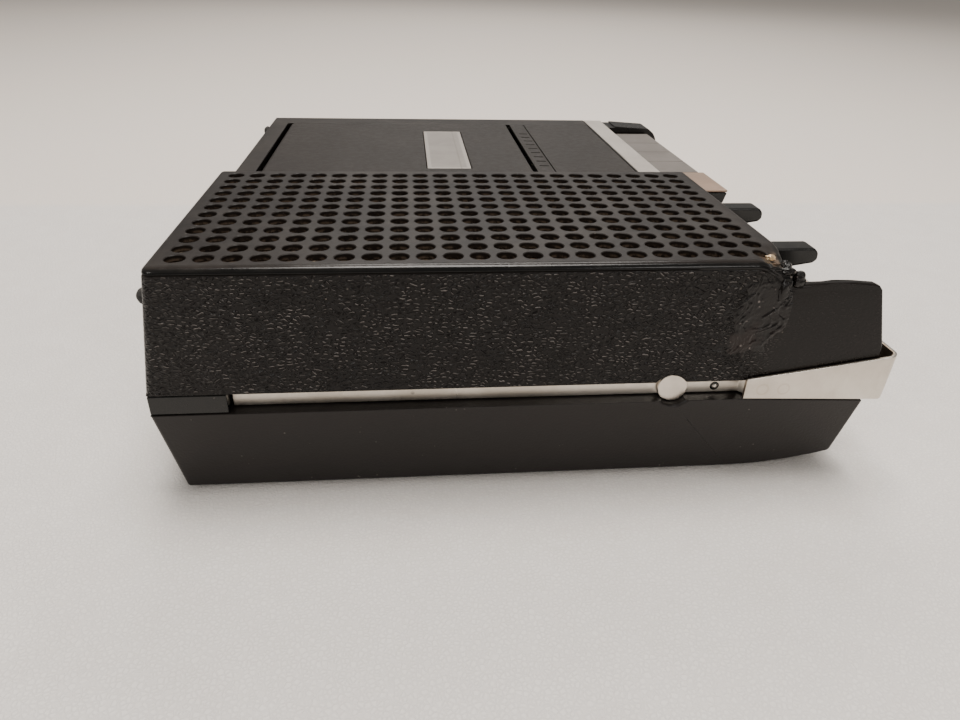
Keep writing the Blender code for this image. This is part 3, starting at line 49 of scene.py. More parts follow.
# ==== Camera, light and floor ====
# The recorder stands on a pale foam board, with a second board laid behind it. It is seen from its left side
# and a little above, close to, under a soft ceiling light.
camera_data = bpy.data.cameras.new("camera")
camera_data.sensor_width = 36.0
camera_data.lens = 26.57
camera_data.clip_start = 0.01
camera = bpy.data.objects.new("camera", camera_data)
bpy.context.scene.collection.objects.link(camera)
yaw = 0.10989
pitch = 0.51885
roll = 0.03089
forward = Vector((math.sin(yaw) * math.cos(pitch), math.cos(yaw) * math.cos(pitch), -math.sin(pitch)))
level_right = Vector((math.cos(yaw), -math.sin(yaw), 0.0))
level_up = level_right.cross(forward)
right = level_right * math.cos(roll) + level_up * math.sin(roll)
up = level_up * math.cos(roll) - level_right * math.sin(roll)
camera.matrix_world = Matrix((
    (right.x, up.x, -forward.x, -0.03685),
    (right.y, up.y, -forward.y, -0.2954),
    (right.z, up.z, -forward.z, 0.1489),
    (0.0, 0.0, 0.0, 1.0)))
bpy.context.scene.camera = camera


def area_light(name, place, target, size, power, colour):
    data = bpy.data.lights.new(name, "AREA")
    data.shape = "RECTANGLE"
    data.size = size[0]
    data.size_y = size[1]
    data.energy = power
    data.color = colour
    light = bpy.data.objects.new(name, data)
    light.location = place
    light.rotation_euler = (Vector(target) - Vector(place)).to_track_quat("-Z", "Y").to_euler()
    bpy.context.scene.collection.objects.link(light)


area_light("ceiling_light", (0.05, 0.05, 1.3), (0.0, 0.0, 0.0), (0.75, 0.5), 21.0, (1.0, 0.955, 0.90))
area_light("far_light", (0.2, 1.6, 1.5), (0.0, 0.9, 0.0), (1.2, 0.8), 16.0, (1.0, 0.96, 0.91))
area_light("window_light", (-0.9, -0.9, 0.75), (0.0, 0.0, 0.05), (0.25, 0.35), 3.0, (1.0, 0.97, 0.93))
area_light("room_light", (0.45, -1.0, 0.55), (0.0, 0.0, 0.05), (0.2, 0.3), 2.2, (1.0, 0.96, 0.92))
world = bpy.data.worlds.new("soft_room")
world.use_nodes = True
world.node_tree.nodes["Background"].inputs["Color"].default_value = (0.86, 0.83, 0.79, 1.0)
world.node_tree.nodes["Background"].inputs["Strength"].default_value = 0.33
bpy.context.scene.world = world


class Nodes:
    """A small hand for wiring a material's or a group's nodes."""

    def __init__(self, tree):
        self.tree = tree

    def add(self, kind, **settings):
        made = self.tree.nodes.new(kind)
        for key, value in settings.items():
            setattr(made, key, value)
        return made

    def link(self, source, target):
        self.tree.links.new(source, target)

    def feed(self, target, value):
        if isinstance(value, bpy.types.NodeSocket):
            self.link(value, target)
        else:
            target.default_value = value

    def math(self, operation, first, second=0.0, clamp=False):
        made = self.add("ShaderNodeMath", operation=operation, use_clamp=clamp)
        self.feed(made.inputs[0], first)
        self.feed(made.inputs[1], second)
        return made.outputs[0]

    def times(self, first, second, clamp=False):
        return self.math("MULTIPLY", first, second, clamp)

    def plus(self, first, second, clamp=False):
        return self.math("ADD", first, second, clamp)

    def less(self, first, second):
        return self.math("SUBTRACT", first, second)

    def mix(self, factor, first, second):
        made = self.add("ShaderNodeMix", data_type="RGBA")
        self.feed(made.inputs["Factor"], factor)
        self.feed(made.inputs["A"], first)
        self.feed(made.inputs["B"], second)
        return made.outputs["Result"]

    def ramp(self, value, low, high):
        made = self.add("ShaderNodeMapRange", interpolation_type="SMOOTHSTEP")
        self.feed(made.inputs["Value"], value)
        made.inputs["From Min"].default_value = low
        made.inputs["From Max"].default_value = high
        return made.outputs["Result"]

    def scaled(self, vector, factors):
        made = self.add("ShaderNodeMapping")
        self.link(vector, made.inputs["Vector"])
        made.inputs["Scale"].default_value = factors
        return made.outputs["Vector"]

    def noise(self, vector, scale, detail=3.0, rough=0.5, distortion=0.0):
        made = self.add("ShaderNodeTexNoise")
        self.feed(made.inputs["Vector"], vector)
        self.feed(made.inputs["Scale"], scale)
        made.inputs["Detail"].default_value = detail
        made.inputs["Roughness"].default_value = rough
        made.inputs["Distortion"].default_value = distortion
        return made.outputs["Fac"]

    def voronoi(self, vector, scale, feature="DISTANCE_TO_EDGE"):
        made = self.add("ShaderNodeTexVoronoi", feature=feature)
        self.feed(made.inputs["Vector"], vector)
        self.feed(made.inputs["Scale"], scale)
        return made.outputs["Distance"]


def group(name, inputs, outputs):
    """An empty shader node group with named sockets; returns its hand, its inputs and its output node."""
    tree = bpy.data.node_groups.new(name, "ShaderNodeTree")
    for label, kind, default in inputs:
        socket = tree.interface.new_socket(name=label, in_out="INPUT", socket_type=kind)
        if default is not None:
            socket.default_value = default
    for label, kind in outputs:
        tree.interface.new_socket(name=label, in_out="OUTPUT", socket_type=kind)
    hand = Nodes(tree)
    source = hand.add("NodeGroupInput")
    sink = hand.add("NodeGroupOutput")
    return hand, source.outputs, sink.inputs


# Shared effect: mottling. Slow colour change, as old plastic and metal have, between two colours.
hand, given, out = group("mottling", [("Vector", "NodeSocketVector", None),
                                      ("Scale", "NodeSocketFloat", 60.0),
                                      ("First", "NodeSocketColor", (0, 0, 0, 1)),
                                      ("Second", "NodeSocketColor", (1, 1, 1, 1))],
                         [("Color", "NodeSocketColor"), ("Mask", "NodeSocketFloat")])
cloud = hand.noise(given["Vector"], given["Scale"], 5.0, 0.62, 0.4)
mask = hand.ramp(cloud, 0.32, 0.68)
hand.link(hand.mix(mask, given["First"], given["Second"]), out["Color"])
hand.link(mask, out["Mask"])

# Shared effect: dust and specks. Fine pale dots and a thin film that gathers on faces turned up.
hand, given, out = group("dust", [("Vector", "NodeSocketVector", None),
                                  ("Base", "NodeSocketColor", (0, 0, 0, 1)),
                                  ("Dust", "NodeSocketColor", (0.32, 0.28, 0.24, 1)),
                                  ("Film", "NodeSocketFloat", 0.2), ("Specks", "NodeSocketFloat", 0.3)],
                         [("Color", "NodeSocketColor"), ("Mask", "NodeSocketFloat")])
facing = hand.add("ShaderNodeNewGeometry")
split = hand.add("ShaderNodeSeparateXYZ")
hand.link(facing.outputs["Normal"], split.inputs[0])
upward = hand.ramp(split.outputs["Z"], 0.2, 0.95)
patchy = hand.ramp(hand.noise(given["Vector"], 34.0, 6.0, 0.7), 0.38, 0.72)
film = hand.times(hand.times(upward, patchy), given["Film"], clamp=True)
dots = hand.ramp(hand.voronoi(given["Vector"], 420.0, "F1"), 0.16, 0.06)
sparse = hand.ramp(hand.noise(given["Vector"], 150.0, 2.0), 0.60, 0.68)
speck = hand.times(hand.times(dots, sparse), given["Specks"], clamp=True)
mask = hand.math("MAXIMUM", film, speck)
hand.link(hand.mix(mask, given["Base"], given["Dust"]), out["Color"])
hand.link(mask, out["Mask"])

# Shared effect: leather grain. Small domed cells with creases between them, and a fine skin on top. Its third
# output is a painted highlight: a mask on the upper flank of each cell, where light from above catches it.
hand, given, out = group("leather_grain", [("Vector", "NodeSocketVector", None),
                                           ("Cells", "NodeSocketFloat", 620.0),
                                           ("Fine", "NodeSocketFloat", 0.35)],
                         [("Height", "NodeSocketFloat"), ("Crease", "NodeSocketFloat"),
                          ("Painted_Glint", "NodeSocketFloat")])
warp = hand.add("ShaderNodeTexNoise")
hand.link(given["Vector"], warp.inputs["Vector"])
warp.inputs["Scale"].default_value = 260.0
warp.inputs["Detail"].default_value = 3.0
shift = hand.add("ShaderNodeVectorMath", operation="MULTIPLY_ADD")
hand.link(warp.outputs["Color"], shift.inputs[0])
shift.inputs[1].default_value = (0.0016, 0.0016, 0.0016)
hand.link(given["Vector"], shift.inputs[2])
long_cells = hand.scaled(shift.outputs[0], (0.62, 0.8, 1.0))
edge = hand.voronoi(long_cells, given["Cells"])
dome = hand.ramp(edge, 0.02, 0.32)
skin = hand.noise(given["Vector"], 1900.0, 2.0)
height = hand.plus(dome, hand.times(skin, given["Fine"]))
hand.link(height, out["Height"])
hand.link(hand.less(1.0, dome), out["Crease"])
# Painted highlight: the grain is sampled again a little higher up; where a cell falls away upwards, its upper
# flank is marked for a pale colour.
raised = hand.add("ShaderNodeVectorMath", operation="ADD")
hand.link(shift.outputs[0], raised.inputs[0])
raised.inputs[1].default_value = (0.0001, 0.0, 0.0003)
above = hand.ramp(hand.voronoi(hand.scaled(raised.outputs[0], (0.62, 0.8, 1.0)), given["Cells"]), 0.02, 0.32)
hand.link(hand.ramp(hand.less(dome, above), 0.45, 0.85), out["Painted_Glint"])

# Shared effect: moulded skin. The fine spark-eroded surface of plain plastic, as a height.
hand, given, out = group("moulded_skin", [("Vector", "NodeSocketVector", None),
                                          ("Scale", "NodeSocketFloat", 1500.0)],
                         [("Height", "NodeSocketFloat")])
coarse = hand.noise(given["Vector"], given["Scale"], 2.0, 0.6)
hand.link(hand.plus(coarse, hand.times(hand.noise(given["Vector"], 420.0, 3.0), 0.5)),
          out["Height"])

# Shared effect: scratches. Thin lines in one direction, used for brushing and for handling marks.
hand, given, out = group("scratches", [("Vector", "NodeSocketVector", None),
                                       ("Scale", "NodeSocketFloat", 900.0)],
                         [("Lines", "NodeSocketFloat")])
hand.link(hand.noise(given["Vector"], given["Scale"], 4.0, 0.65), out["Lines"])


def use(hand, name, **values):
    """Places one shared effect in a material and sets its inputs."""
    made = hand.add("ShaderNodeGroup")
    made.node_tree = bpy.data.node_groups[name]
    for key, value in values.items():
        hand.feed(made.inputs[key], value)
    return made.outputs


def two_tones(hand, place, scale, first, second):
    """Mottling between two plain colours, as fine as scale says."""
    return use(hand, "mottling", Vector=place, Scale=scale, First=(*first, 1.0), Second=(*second, 1.0))


def dust_over(hand, shader, place, base, film, specks, dust=(0.32, 0.28, 0.24)):
    """Lays dust on a base colour and gives the result to the shader."""
    dusty = use(hand, "dust", Vector=place, Base=base, Dust=(*dust, 1.0), Film=film, Specks=specks)
    hand.link(dusty["Color"], shader.inputs["Base Color"])


def start_material(name, roughness, metallic=0.0, shine=0.5):
    made = bpy.data.materials.new(name)
    made.use_nodes = True
    hand = Nodes(made.node_tree)
    shader = made.node_tree.nodes["Principled BSDF"]
    shader.inputs["Roughness"].default_value = roughness
    shader.inputs["Metallic"].default_value = metallic
    shader.inputs["Specular IOR Level"].default_value = shine
    place = hand.add("ShaderNodeTexCoord").outputs["Object"]
    return made, hand, shader, place


def bump(hand, shader, height, strength, distance):
    made = hand.add("ShaderNodeBump")
    hand.link(height, made.inputs["Height"])
    made.inputs["Strength"].default_value = strength
    made.inputs["Distance"].default_value = distance
    hand.link(made.outputs["Normal"], shader.inputs["Normal"])


def vary(hand, value, middle, spread):
    """Turns a 0 to 1 value into middle plus or minus spread."""
    return hand.plus(hand.times(value, 2.0 * spread), middle - spread, clamp=True)


def make_object(name, bm):
    """Turns a finished bmesh into an object in the scene."""
    mesh = bpy.data.meshes.new(name)
    bm.to_mesh(mesh)
    bm.free()
    made = bpy.data.objects.new(name, mesh)
    bpy.context.scene.collection.objects.link(made)
    return made


def slab(name, low, high, finish):
    bm = bmesh.new()
    bmesh.ops.create_cube(bm, size=1.0)
    for vertex in bm.verts:
        for axis in range(3):
            vertex.co[axis] = low[axis] if vertex.co[axis] < 0 else high[axis]
    made = make_object(name, bm)
    made.data.materials.append(finish)
    return made


board_finish, hand, shader, place = start_material("pale_board", 0.75)
board_colour = two_tones(hand, place, 60.0, (0.86, 0.81, 0.765), (0.89, 0.845, 0.80))
beads = hand.ramp(hand.voronoi(place, 750.0), 0.0, 0.22)
base = hand.mix(beads, hand.mix(0.35, board_colour["Color"], (0.73, 0.68, 0.64, 1)), board_colour["Color"])
split = hand.add("ShaderNodeSeparateXYZ")
hand.link(place, split.inputs[0])
next_board = hand.ramp(split.outputs["Y"], 0.172, 0.186)
hand.link(hand.mix(next_board, base, (0.90, 0.82, 0.745, 1)), shader.inputs["Base Color"])
cells = hand.plus(beads, hand.times(hand.noise(place, 130.0, 4.0), 2.0))
bump(hand, shader, cells, 0.45, 0.0004)
slab("floor", (-4.0, -4.0, -0.02), (4.0, 4.0, 0.0), board_finish)


# ==== Upper casing ====
# One injection moulding in black-brown plastic: leather grain on the outer walls, plain satin skin on the
# deck, cheeks and apron. Its edges are rounded by the mould. The near front corner was once touched by heat.
def soften(node, width, segments=2, corner_width=0.0):
    """A copy of a CAD node, its triangles joined and its edges rounded as far as there is room beside them.

    corner_width, if given, rounds the upright edges at the rear corners more than the rest.
    """
    sharp = math.radians(28.0)
    room_needed = 2.3
    bm = bmesh.new()
    bm.from_mesh(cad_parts[node].data)
    bmesh.ops.remove_doubles(bm, verts=bm.verts[:], dist=2e-6)
    bmesh.ops.dissolve_limit(bm, angle_limit=math.radians(0.6), verts=bm.verts[:], edges=bm.edges[:])
    bmesh.ops.triangulate(bm, faces=[face for face in bm.faces if len(face.verts) > 4])
    weight = bm.edges.layers.float.new("bevel_weight_edge")
    widest = max(width, corner_width)
    low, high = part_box(node)
    for edge in bm.edges:
        if not edge.is_manifold or edge.calc_face_angle(0.0) < sharp:
            continue
        way = (edge.verts[1].co - edge.verts[0].co).normalized()
        room = [width * room_needed]
        for vertex in edge.verts:
            for other in vertex.link_edges:
                other_way = (other.verts[1].co - other.verts[0].co).normalized()
                runs_on = abs(way.dot(other_way)) > 0.8 and other.calc_face_angle(0.0) > sharp
                if other is not edge and not runs_on:
                    room.append(other.calc_length() * way.cross(other_way).length)
        edge[weight] = min(width, min(room) / room_needed) / widest
        at_rear = all(v.co.x < low.x + 0.0075 for v in edge.verts)
        at_side = all(min(v.co.y - low.y, high.y - v.co.y) < 0.0002 for v in edge.verts)
        if corner_width and at_rear and at_side and abs(way.z) > 0.9 and edge.calc_length() > 0.010:
            edge[weight] = 1.0
    made = make_object(node + "_shell", bm)
    rounding = made.modifiers.new("rounding", "BEVEL")
    rounding.width = widest
    rounding.segments = segments
    rounding.limit_method = "WEIGHT"
    rounding.use_clamp_overlap = False
    plain(made)
    for vertex in made.data.vertices:
        vertex.co = Vector(max(low[k], min(high[k], vertex.co[k])) for k in range(3))
    return flatten(made)


def flatten(made):
    """Smooth shading that keeps the flats flat."""
    made.data.shade_smooth()
    made.data.set_sharp_from_angle(angle=math.radians(38.0))
    made.modifiers.new("flats", "WEIGHTED_NORMAL").keep_sharp = True
    plain(made)
    return made


def plain(made):
    """Turns a piece's modifiers into a plain mesh."""
    depsgraph = bpy.context.evaluated_depsgraph_get()
    mesh = bpy.data.meshes.new_from_object(made.evaluated_get(depsgraph))
    made.modifiers.clear()
    made.data = mesh


def finish_with(made, material, slot_name, body, *nodes):
    """Gives a piece its material and moving body, and hides the CAD nodes that it stands in for; slot_name is
    not used.
    """
    made.data.materials.clear()
    made.data.materials.append(material)
    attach(made, body)
    if nodes:
        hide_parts(*nodes)
    return made


def rounded(material, body, width, segments, *nodes):
    """Rounds the edges of CAD nodes and gives each the material; each stands in for its own node."""
    slot_name = material.name.partition(".")[0]  # without the number that Blender adds to a taken name
    for node in nodes:
        finish_with(soften(node, width, segments), material, slot_name, body, node)


block_low, block_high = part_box("speaker_grille")
wall_low, wall_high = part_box("upper_casing")
fascia_x = block_high.x
hot_corner = Vector((fascia_x, block_low.y, block_high.z))


def slump(point):
    """Moves a point near the heated corner: the plastic has sagged down and back there, in soft lumps."""
    away = point - hot_corner
    near = math.sqrt((away.x / 0.0125) ** 2 + (away.y / 0.0170) ** 2 + (away.z / 0.0150) ** 2)
    if near >= 1.0:
        return point
    pull = (1.0 - near) ** 2 * (1.0 + 2.0 * near)
    lump = 1.0 + 0.30 * noise.noise(point * 330.0)
    moved = point + Vector((-0.0016, 0.0006, -0.0040)) * pull * lump
    moved.z = min(moved.z, block_high.z)
    return moved


def near_hot_corner(face):
    """Whether a face reaches into the block of plastic that the heat has moved."""
    for k, reach in enumerate((0.014, 0.019, 0.017)):
        levels = [vertex.co[k] for vertex in face.verts]
        spans = min(levels) < hot_corner[k] < max(levels)
        if not spans and min(abs(level - hot_corner[k]) for level in levels) >= reach:
            return False
    return True


grained_black, hand, shader, place = start_material("grained_black", 0.4, 0.0, 0.22)
split = hand.add("ShaderNodeSeparateXYZ")
hand.link(place, split.inputs[0])
facing = hand.add("ShaderNodeNewGeometry")
turn = hand.add("ShaderNodeSeparateXYZ")
hand.link(facing.outputs["Normal"], turn.inputs[0])
upright = hand.ramp(hand.math("ABSOLUTE", turn.outputs["Z"]), 0.6, 0.3)
outer_side = hand.ramp(hand.math("ABSOLUTE", split.outputs["Y"]), wall_high.y - 0.004, wall_high.y - 0.001)
outer_rear = hand.ramp(split.outputs["X"], wall_low.x + 0.010, wall_low.x + 0.0075)
before_nose = hand.ramp(split.outputs["X"], fascia_x + 0.002, fascia_x - 0.016)
grained = hand.times(hand.math("MAXIMUM", outer_side, outer_rear), upright)
grain_share = hand.times(grained, hand.plus(hand.times(before_nose, 0.94), 0.06))
grain = use(hand, "leather_grain", Vector=place, Cells=860.0, Fine=0.08)
skin = use(hand, "moulded_skin", Vector=place, Scale=1500.0)
tone = two_tones(hand, place, 26.0, (0.0056, 0.0043, 0.0038), (0.0078, 0.0060, 0.0053))
# Painted shade: the creases between the grain cells are coloured darker.
painted_crease_shade = hand.times(grain["Crease"], grain_share)
base = hand.mix(hand.times(painted_crease_shade, 0.55), tone["Color"], (0.0035, 0.0027, 0.0025, 1))
# Painted highlight: the upper flanks of the grain cells are coloured pale, in patches, as if lit from above.
patches = hand.ramp(hand.noise(place, 110.0, 4.0, 0.6), 0.34, 0.62)
painted_glint = hand.times(hand.times(grain["Painted_Glint"], grain_share), patches)
base = hand.mix(hand.times(painted_glint, 0.85), base, (0.230, 0.205, 0.190, 1))
deck_tone = two_tones(hand, place, 320.0, (0.0135, 0.0105, 0.0090), (0.0180, 0.0142, 0.0122))
lid_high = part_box("cassette_lid")[1]
deck_top = hand.times(hand.ramp(turn.outputs["Z"], 0.5, 0.9),
                      hand.ramp(split.outputs["Z"], lid_high.z - 0.0012, lid_high.z - 0.0002))
before_front = hand.ramp(split.outputs["X"], fascia_x + 0.0004, fascia_x - 0.0004)
deck_face = hand.times(deck_top, before_front)
base = hand.mix(deck_face, base, deck_tone["Color"])
dust_over(hand, shader, place, base, 0.05, 0.3)
skin_share = hand.less(0.09, hand.times(grain_share, 0.08))
relief = hand.plus(hand.times(grain["Height"], grain_share), hand.times(skin["Height"], skin_share))
bump(hand, shader, relief, 1.0, 0.00034)
wall_gloss = vary(hand, tone["Mask"], 0.27, 0.04)
hand.link(hand.plus(wall_gloss, hand.times(deck_face, 0.28)), shader.inputs["Roughness"])

upper = soften("upper_casing", 0.0006, 4, 0.0024)
bm = bmesh.new()
bm.from_mesh(upper.data)
for axis, first, step, count in ((0, fascia_x - 0.0125, 0.0012, 12), (1, block_low.y + 0.0012, 0.0016, 10),
                                 (2, block_high.z - 0.0150, 0.0012, 12)):
    way = Vector((0.0, 0.0, 0.0))
    way[axis] = 1.0
    for i in range(count):
        faces = [face for face in bm.faces if near_hot_corner(face)]
        touched = set(faces)
        edges = [edge for edge in bm.edges if touched.intersection(edge.link_faces)]
        corners = [vertex for vertex in bm.verts if touched.intersection(vertex.link_faces)]
        bmesh.ops.bisect_plane(bm, geom=faces + edges + corners, plane_co=way * (first + step * i),
                               plane_no=way, dist=1e-6)
for vertex in bm.verts:
    vertex.co = slump(vertex.co)
bm.to_mesh(upper.data)
bm.free()
flatten(upper)
finish_with(upper, grained_black, "grained_black", "casing", "upper_casing")


# ==== Perforated speaker grille ====
# A moulded plate with rows of round holes, worn semi-gloss on top, with a polished bevel along its free
# edges that is painted darker as shade. It drops on to the walls of the speaker block; brown dust has
# gathered inside the holes, and their walls are painted dark just under the rim as shade.
def grille_tile(pitch, radius, thickness, rim, steps):
    """One square of the plate with its round hole, the rim of the hole rounded on top."""
    bm = bmesh.new()
    half = pitch / 2
    top_square, top_circle, edge_circle, low_circle, low_square = [], [], [], [], []
    for i in range(steps):
        angle = math.tau * i / steps
        way = Vector((math.cos(angle), math.sin(angle), 0.0))
        reach = half / max(abs(way.x), abs(way.y))
        corner = way * reach
        top_square.append(bm.verts.new((corner.x, corner.y, 0.0)))
        top_circle.append(bm.verts.new(way * (radius + rim)))
        edge_circle.append(bm.verts.new(way * radius + Vector((0, 0, -rim))))
        low_circle.append(bm.verts.new(way * radius + Vector((0, 0, -thickness))))
        low_square.append(bm.verts.new((corner.x, corner.y, -thickness)))
    loops = [top_square, top_circle, edge_circle, low_circle, low_square]
    for first, second in zip(loops, loops[1:]):
        for i in range(steps):
            j = (i + 1) % steps
            bm.faces.new((first[i], first[j], second[j], second[i]))
    mesh = bpy.data.meshes.new("grille_tile")
    bmesh.ops.recalc_face_normals(bm, faces=bm.faces[:])
    bm.to_mesh(mesh)
    bm.free()
    return mesh


def node_field(name, sockets, build):
    """A Geometry Nodes tree with the given input sockets; build wires it and returns its geometry."""
    tree = bpy.data.node_groups.new(name, "GeometryNodeTree")
    tree.interface.new_socket(name="Geometry", in_out="INPUT", socket_type="NodeSocketGeometry")
    for label, kind in sockets:
        tree.interface.new_socket(name=label, in_out="INPUT", socket_type=kind)
    tree.interface.new_socket(name="Geometry", in_out="OUTPUT", socket_type="NodeSocketGeometry")
    hand = Nodes(tree)
    source = hand.add("NodeGroupInput")
    sink = hand.add("NodeGroupOutput")
    hand.link(build(hand, source.outputs), sink.inputs["Geometry"])
    return tree


def run_field(name, tree, values):
    """Runs a Geometry Nodes tree on an empty mesh, with its inputs set by socket identifier."""
    made = bpy.data.objects.new(name, bpy.data.meshes.new(name))
    bpy.context.scene.collection.objects.link(made)
    modifier = made.modifiers.new("field", "NODES")
    modifier.node_group = tree
    for item in tree.interface.items_tree:
        if item.in_out == "INPUT" and item.name in values:
            modifier[item.identifier] = values[item.name]
    plain(made)
    return made


def build_hole_field(hand, given):
    grid = hand.add("GeometryNodeMeshGrid")
    across = hand.less(given["Columns"], 1.0)
    deep = hand.less(given["Rows"], 1.0)
    hand.link(hand.times(across, given["Pitch"]), grid.inputs["Size X"])
    hand.link(hand.times(deep, given["Pitch"]), grid.inputs["Size Y"])
    hand.link(given["Columns"], grid.inputs["Vertices X"])
    hand.link(given["Rows"], grid.inputs["Vertices Y"])
    tile_info = hand.add("GeometryNodeObjectInfo")
    hand.link(given["Tile"], tile_info.inputs["Object"])
    spread = hand.add("GeometryNodeInstanceOnPoints")
    hand.link(grid.outputs["Mesh"], spread.inputs["Points"])
    hand.link(tile_info.outputs["Geometry"], spread.inputs["Instance"])
    solid = hand.add("GeometryNodeRealizeInstances")
    hand.link(spread.outputs["Instances"], solid.inputs["Geometry"])
    welded = hand.add("GeometryNodeMergeByDistance")
    welded.inputs["Distance"].default_value = 0.00002
    hand.link(solid.outputs["Geometry"], welded.inputs["Geometry"])
    coated = hand.add("GeometryNodeSetMaterial")
    hand.link(welded.outputs["Geometry"], coated.inputs["Geometry"])
    hand.link(given["Finish"], coated.inputs["Material"])
    return coated.outputs["Geometry"]


grille_black, hand, shader, place = start_material("grille_black", 0.34, 0.0, 0.25)
tone = two_tones(hand, place, 130.0, (0.0110, 0.0082, 0.0070), (0.0150, 0.0114, 0.0098))
split = hand.add("ShaderNodeSeparateXYZ")
hand.link(place, split.inputs[0])
below_top = hand.ramp(split.outputs["Z"], block_high.z - 0.0005, block_high.z - 0.0001)
near_edge = hand.ramp(split.outputs["Y"], block_low.y + 0.0030, block_low.y + 0.0024)
front_edge = hand.ramp(split.outputs["X"], block_high.x - 0.0030, block_high.x - 0.0024)
rear_edge = hand.ramp(split.outputs["X"], block_low.x + 0.0030, block_low.x + 0.0024)
# Painted shade: the rounded bevel along the plate's free edges is coloured darker than its top.
painted_lip_shade = hand.math("MAXIMUM", near_edge, hand.math("MAXIMUM", front_edge, rear_edge))
# Hole walls: brown with dust lower down, and painted shade just under the rim, where they stay dark.
dust_and_rim_shade = hand.times(hand.ramp(split.outputs["Z"], block_high.z - 0.0007, block_high.z - 0.0015),
                     hand.ramp(hand.noise(place, 420.0, 5.0, 0.7), 0.42, 0.60))
hole_tone = hand.mix(dust_and_rim_shade, (0.012, 0.0088, 0.0070, 1), (0.105, 0.076, 0.054, 1))
lip_shade_or_hole = hand.mix(painted_lip_shade, hole_tone, (0.0040, 0.0038, 0.0036, 1))
base = hand.mix(below_top, lip_shade_or_hole, tone["Color"])
dust_over(hand, shader, place, base, 0.06, 0.35)
rub = use(hand, "scratches", Vector=hand.scaled(place, (0.3, 1.0, 1.0)), Scale=260.0)
worn = vary(hand, rub["Lines"], 0.40, 0.10)
hand.link(hand.less(worn, hand.times(near_edge, 0.22)), shader.inputs["Roughness"])
skin = use(hand, "moulded_skin", Vector=place, Scale=1500.0)
bump(hand, shader, skin["Height"], 0.35, 0.00008)

pitch_of_holes = 7.5 * MM
hole_margin = 7.4 * MM
hole_radius = 2.8 * MM
hole_rim = 0.22 * MM
steps_round_hole = 24
plate_thickness = block_high.z - block_low.z
columns, rows = 23, 12
tile_object = bpy.data.objects.new("grille_tile", grille_tile(pitch_of_holes, hole_radius, plate_thickness,
                                                               hole_rim, steps_round_hole))
hole_tree = node_field("hole_field", (("Tile", "NodeSocketObject"), ("Pitch", "NodeSocketFloat"),
                                      ("Columns", "NodeSocketInt"), ("Rows", "NodeSocketInt"),
                                      ("Finish", "NodeSocketMaterial")), build_hole_field)
grille = run_field("speaker_grille_plate", hole_tree, {"Tile": tile_object, "Pitch": pitch_of_holes,
                                                       "Columns": columns, "Rows": rows,
                                                       "Finish": grille_black})
bpy.data.objects.remove(tile_object)
field_inset = hole_margin - pitch_of_holes / 2
field_low = Vector((block_low.x + field_inset, block_low.y + field_inset))
field_high = Vector((field_low.x + columns * pitch_of_holes, field_low.y + rows * pitch_of_holes))
field_middle = (field_low + field_high) / 2


def push_rim(bm, edges, low, high, z):
    """Extrudes the open rim and lays the new rim on the rectangle from low to high at height z."""
    old = {v for edge in edges for v in edge.verts}
    left = min(v.co.x for v in old)
    right_end = max(v.co.x for v in old)
    near = min(v.co.y for v in old)
    far = max(v.co.y for v in old)
    made = bmesh.ops.extrude_edge_only(bm, edges=edges)
    fresh = [item for item in made["geom"] if isinstance(item, bmesh.types.BMVert)]
    for vertex in fresh:
        if abs(vertex.co.x - left) < 1e-6:
            vertex.co.x = low.x
        elif abs(vertex.co.x - right_end) < 1e-6:
            vertex.co.x = high.x
        if abs(vertex.co.y - near) < 1e-6:
            vertex.co.y = low.y
        elif abs(vertex.co.y - far) < 1e-6:
            vertex.co.y = high.y
        vertex.co.z = z
    return [item for item in made["geom"] if isinstance(item, bmesh.types.BMEdge)]


bm = bmesh.new()
bm.from_mesh(grille.data)
for vertex in bm.verts:
    vertex.co.x += field_middle.x
    vertex.co.y += field_middle.y
    vertex.co.z += block_high.z
rim = [edge for edge in bm.edges if edge.is_boundary and edge.verts[0].co.z > block_high.z - 0.0002]
bevel = 2.1 * MM
for step in range(7):
    turn_angle = math.pi / 2 * step / 6
    inset = bevel * (1 - math.sin(turn_angle)) * (1 if step < 6 else 0)
    drop = plate_thickness * (1 - math.cos(turn_angle)) * 0.96
    rim = push_rim(bm, rim, Vector((block_low.x + inset, block_low.y + inset)),
                   Vector((block_high.x - inset, block_high.y)), block_high.z - drop)
rim = push_rim(bm, rim, block_low, block_high, block_low.z)
rim = push_rim(bm, rim, field_low, field_high, block_low.z)
bmesh.ops.remove_doubles(bm, verts=bm.verts[:], dist=0.00003)
corner_radius = 2.8 * MM
rear_middle = Vector((block_low.x + corner_radius, block_low.y + corner_radius))
for axis in (0, 1):
    way = Vector((1.0 - axis, axis, 0.0))
    for i in range(4):
        plane = rear_middle.to_3d() - way * corner_radius * math.sin(math.radians(24.0 * i))
        bmesh.ops.bisect_plane(bm, geom=bm.verts[:] + bm.edges[:] + bm.faces[:], plane_co=plane, plane_no=way,
                               dist=1e-6)
for vertex in bm.verts:
    to_edge = Vector((rear_middle.x - vertex.co.x, rear_middle.y - vertex.co.y))
    if to_edge.x > 1e-7 and to_edge.y > 1e-7:
        on_arc = to_edge * (max(to_edge) / to_edge.length)
        vertex.co.x = rear_middle.x - on_arc.x
        vertex.co.y = rear_middle.y - on_arc.y
long_edges = [edge for edge in bm.edges
              if edge.calc_length() > 0.0011 and (edge.verts[0].co - hot_corner).length < 0.022]
bmesh.ops.subdivide_edges(bm, edges=long_edges, cuts=3, use_grid_fill=True)
for vertex in bm.verts:
    vertex.co = slump(vertex.co)
bmesh.ops.recalc_face_normals(bm, faces=bm.faces[:])
bm.to_mesh(grille.data)
bm.free()
grille.data.shade_smooth()
grille.data.set_sharp_from_angle(angle=math.radians(40.0))
finish_with(grille, grille_black, "grille_black", "casing", "speaker_grille")
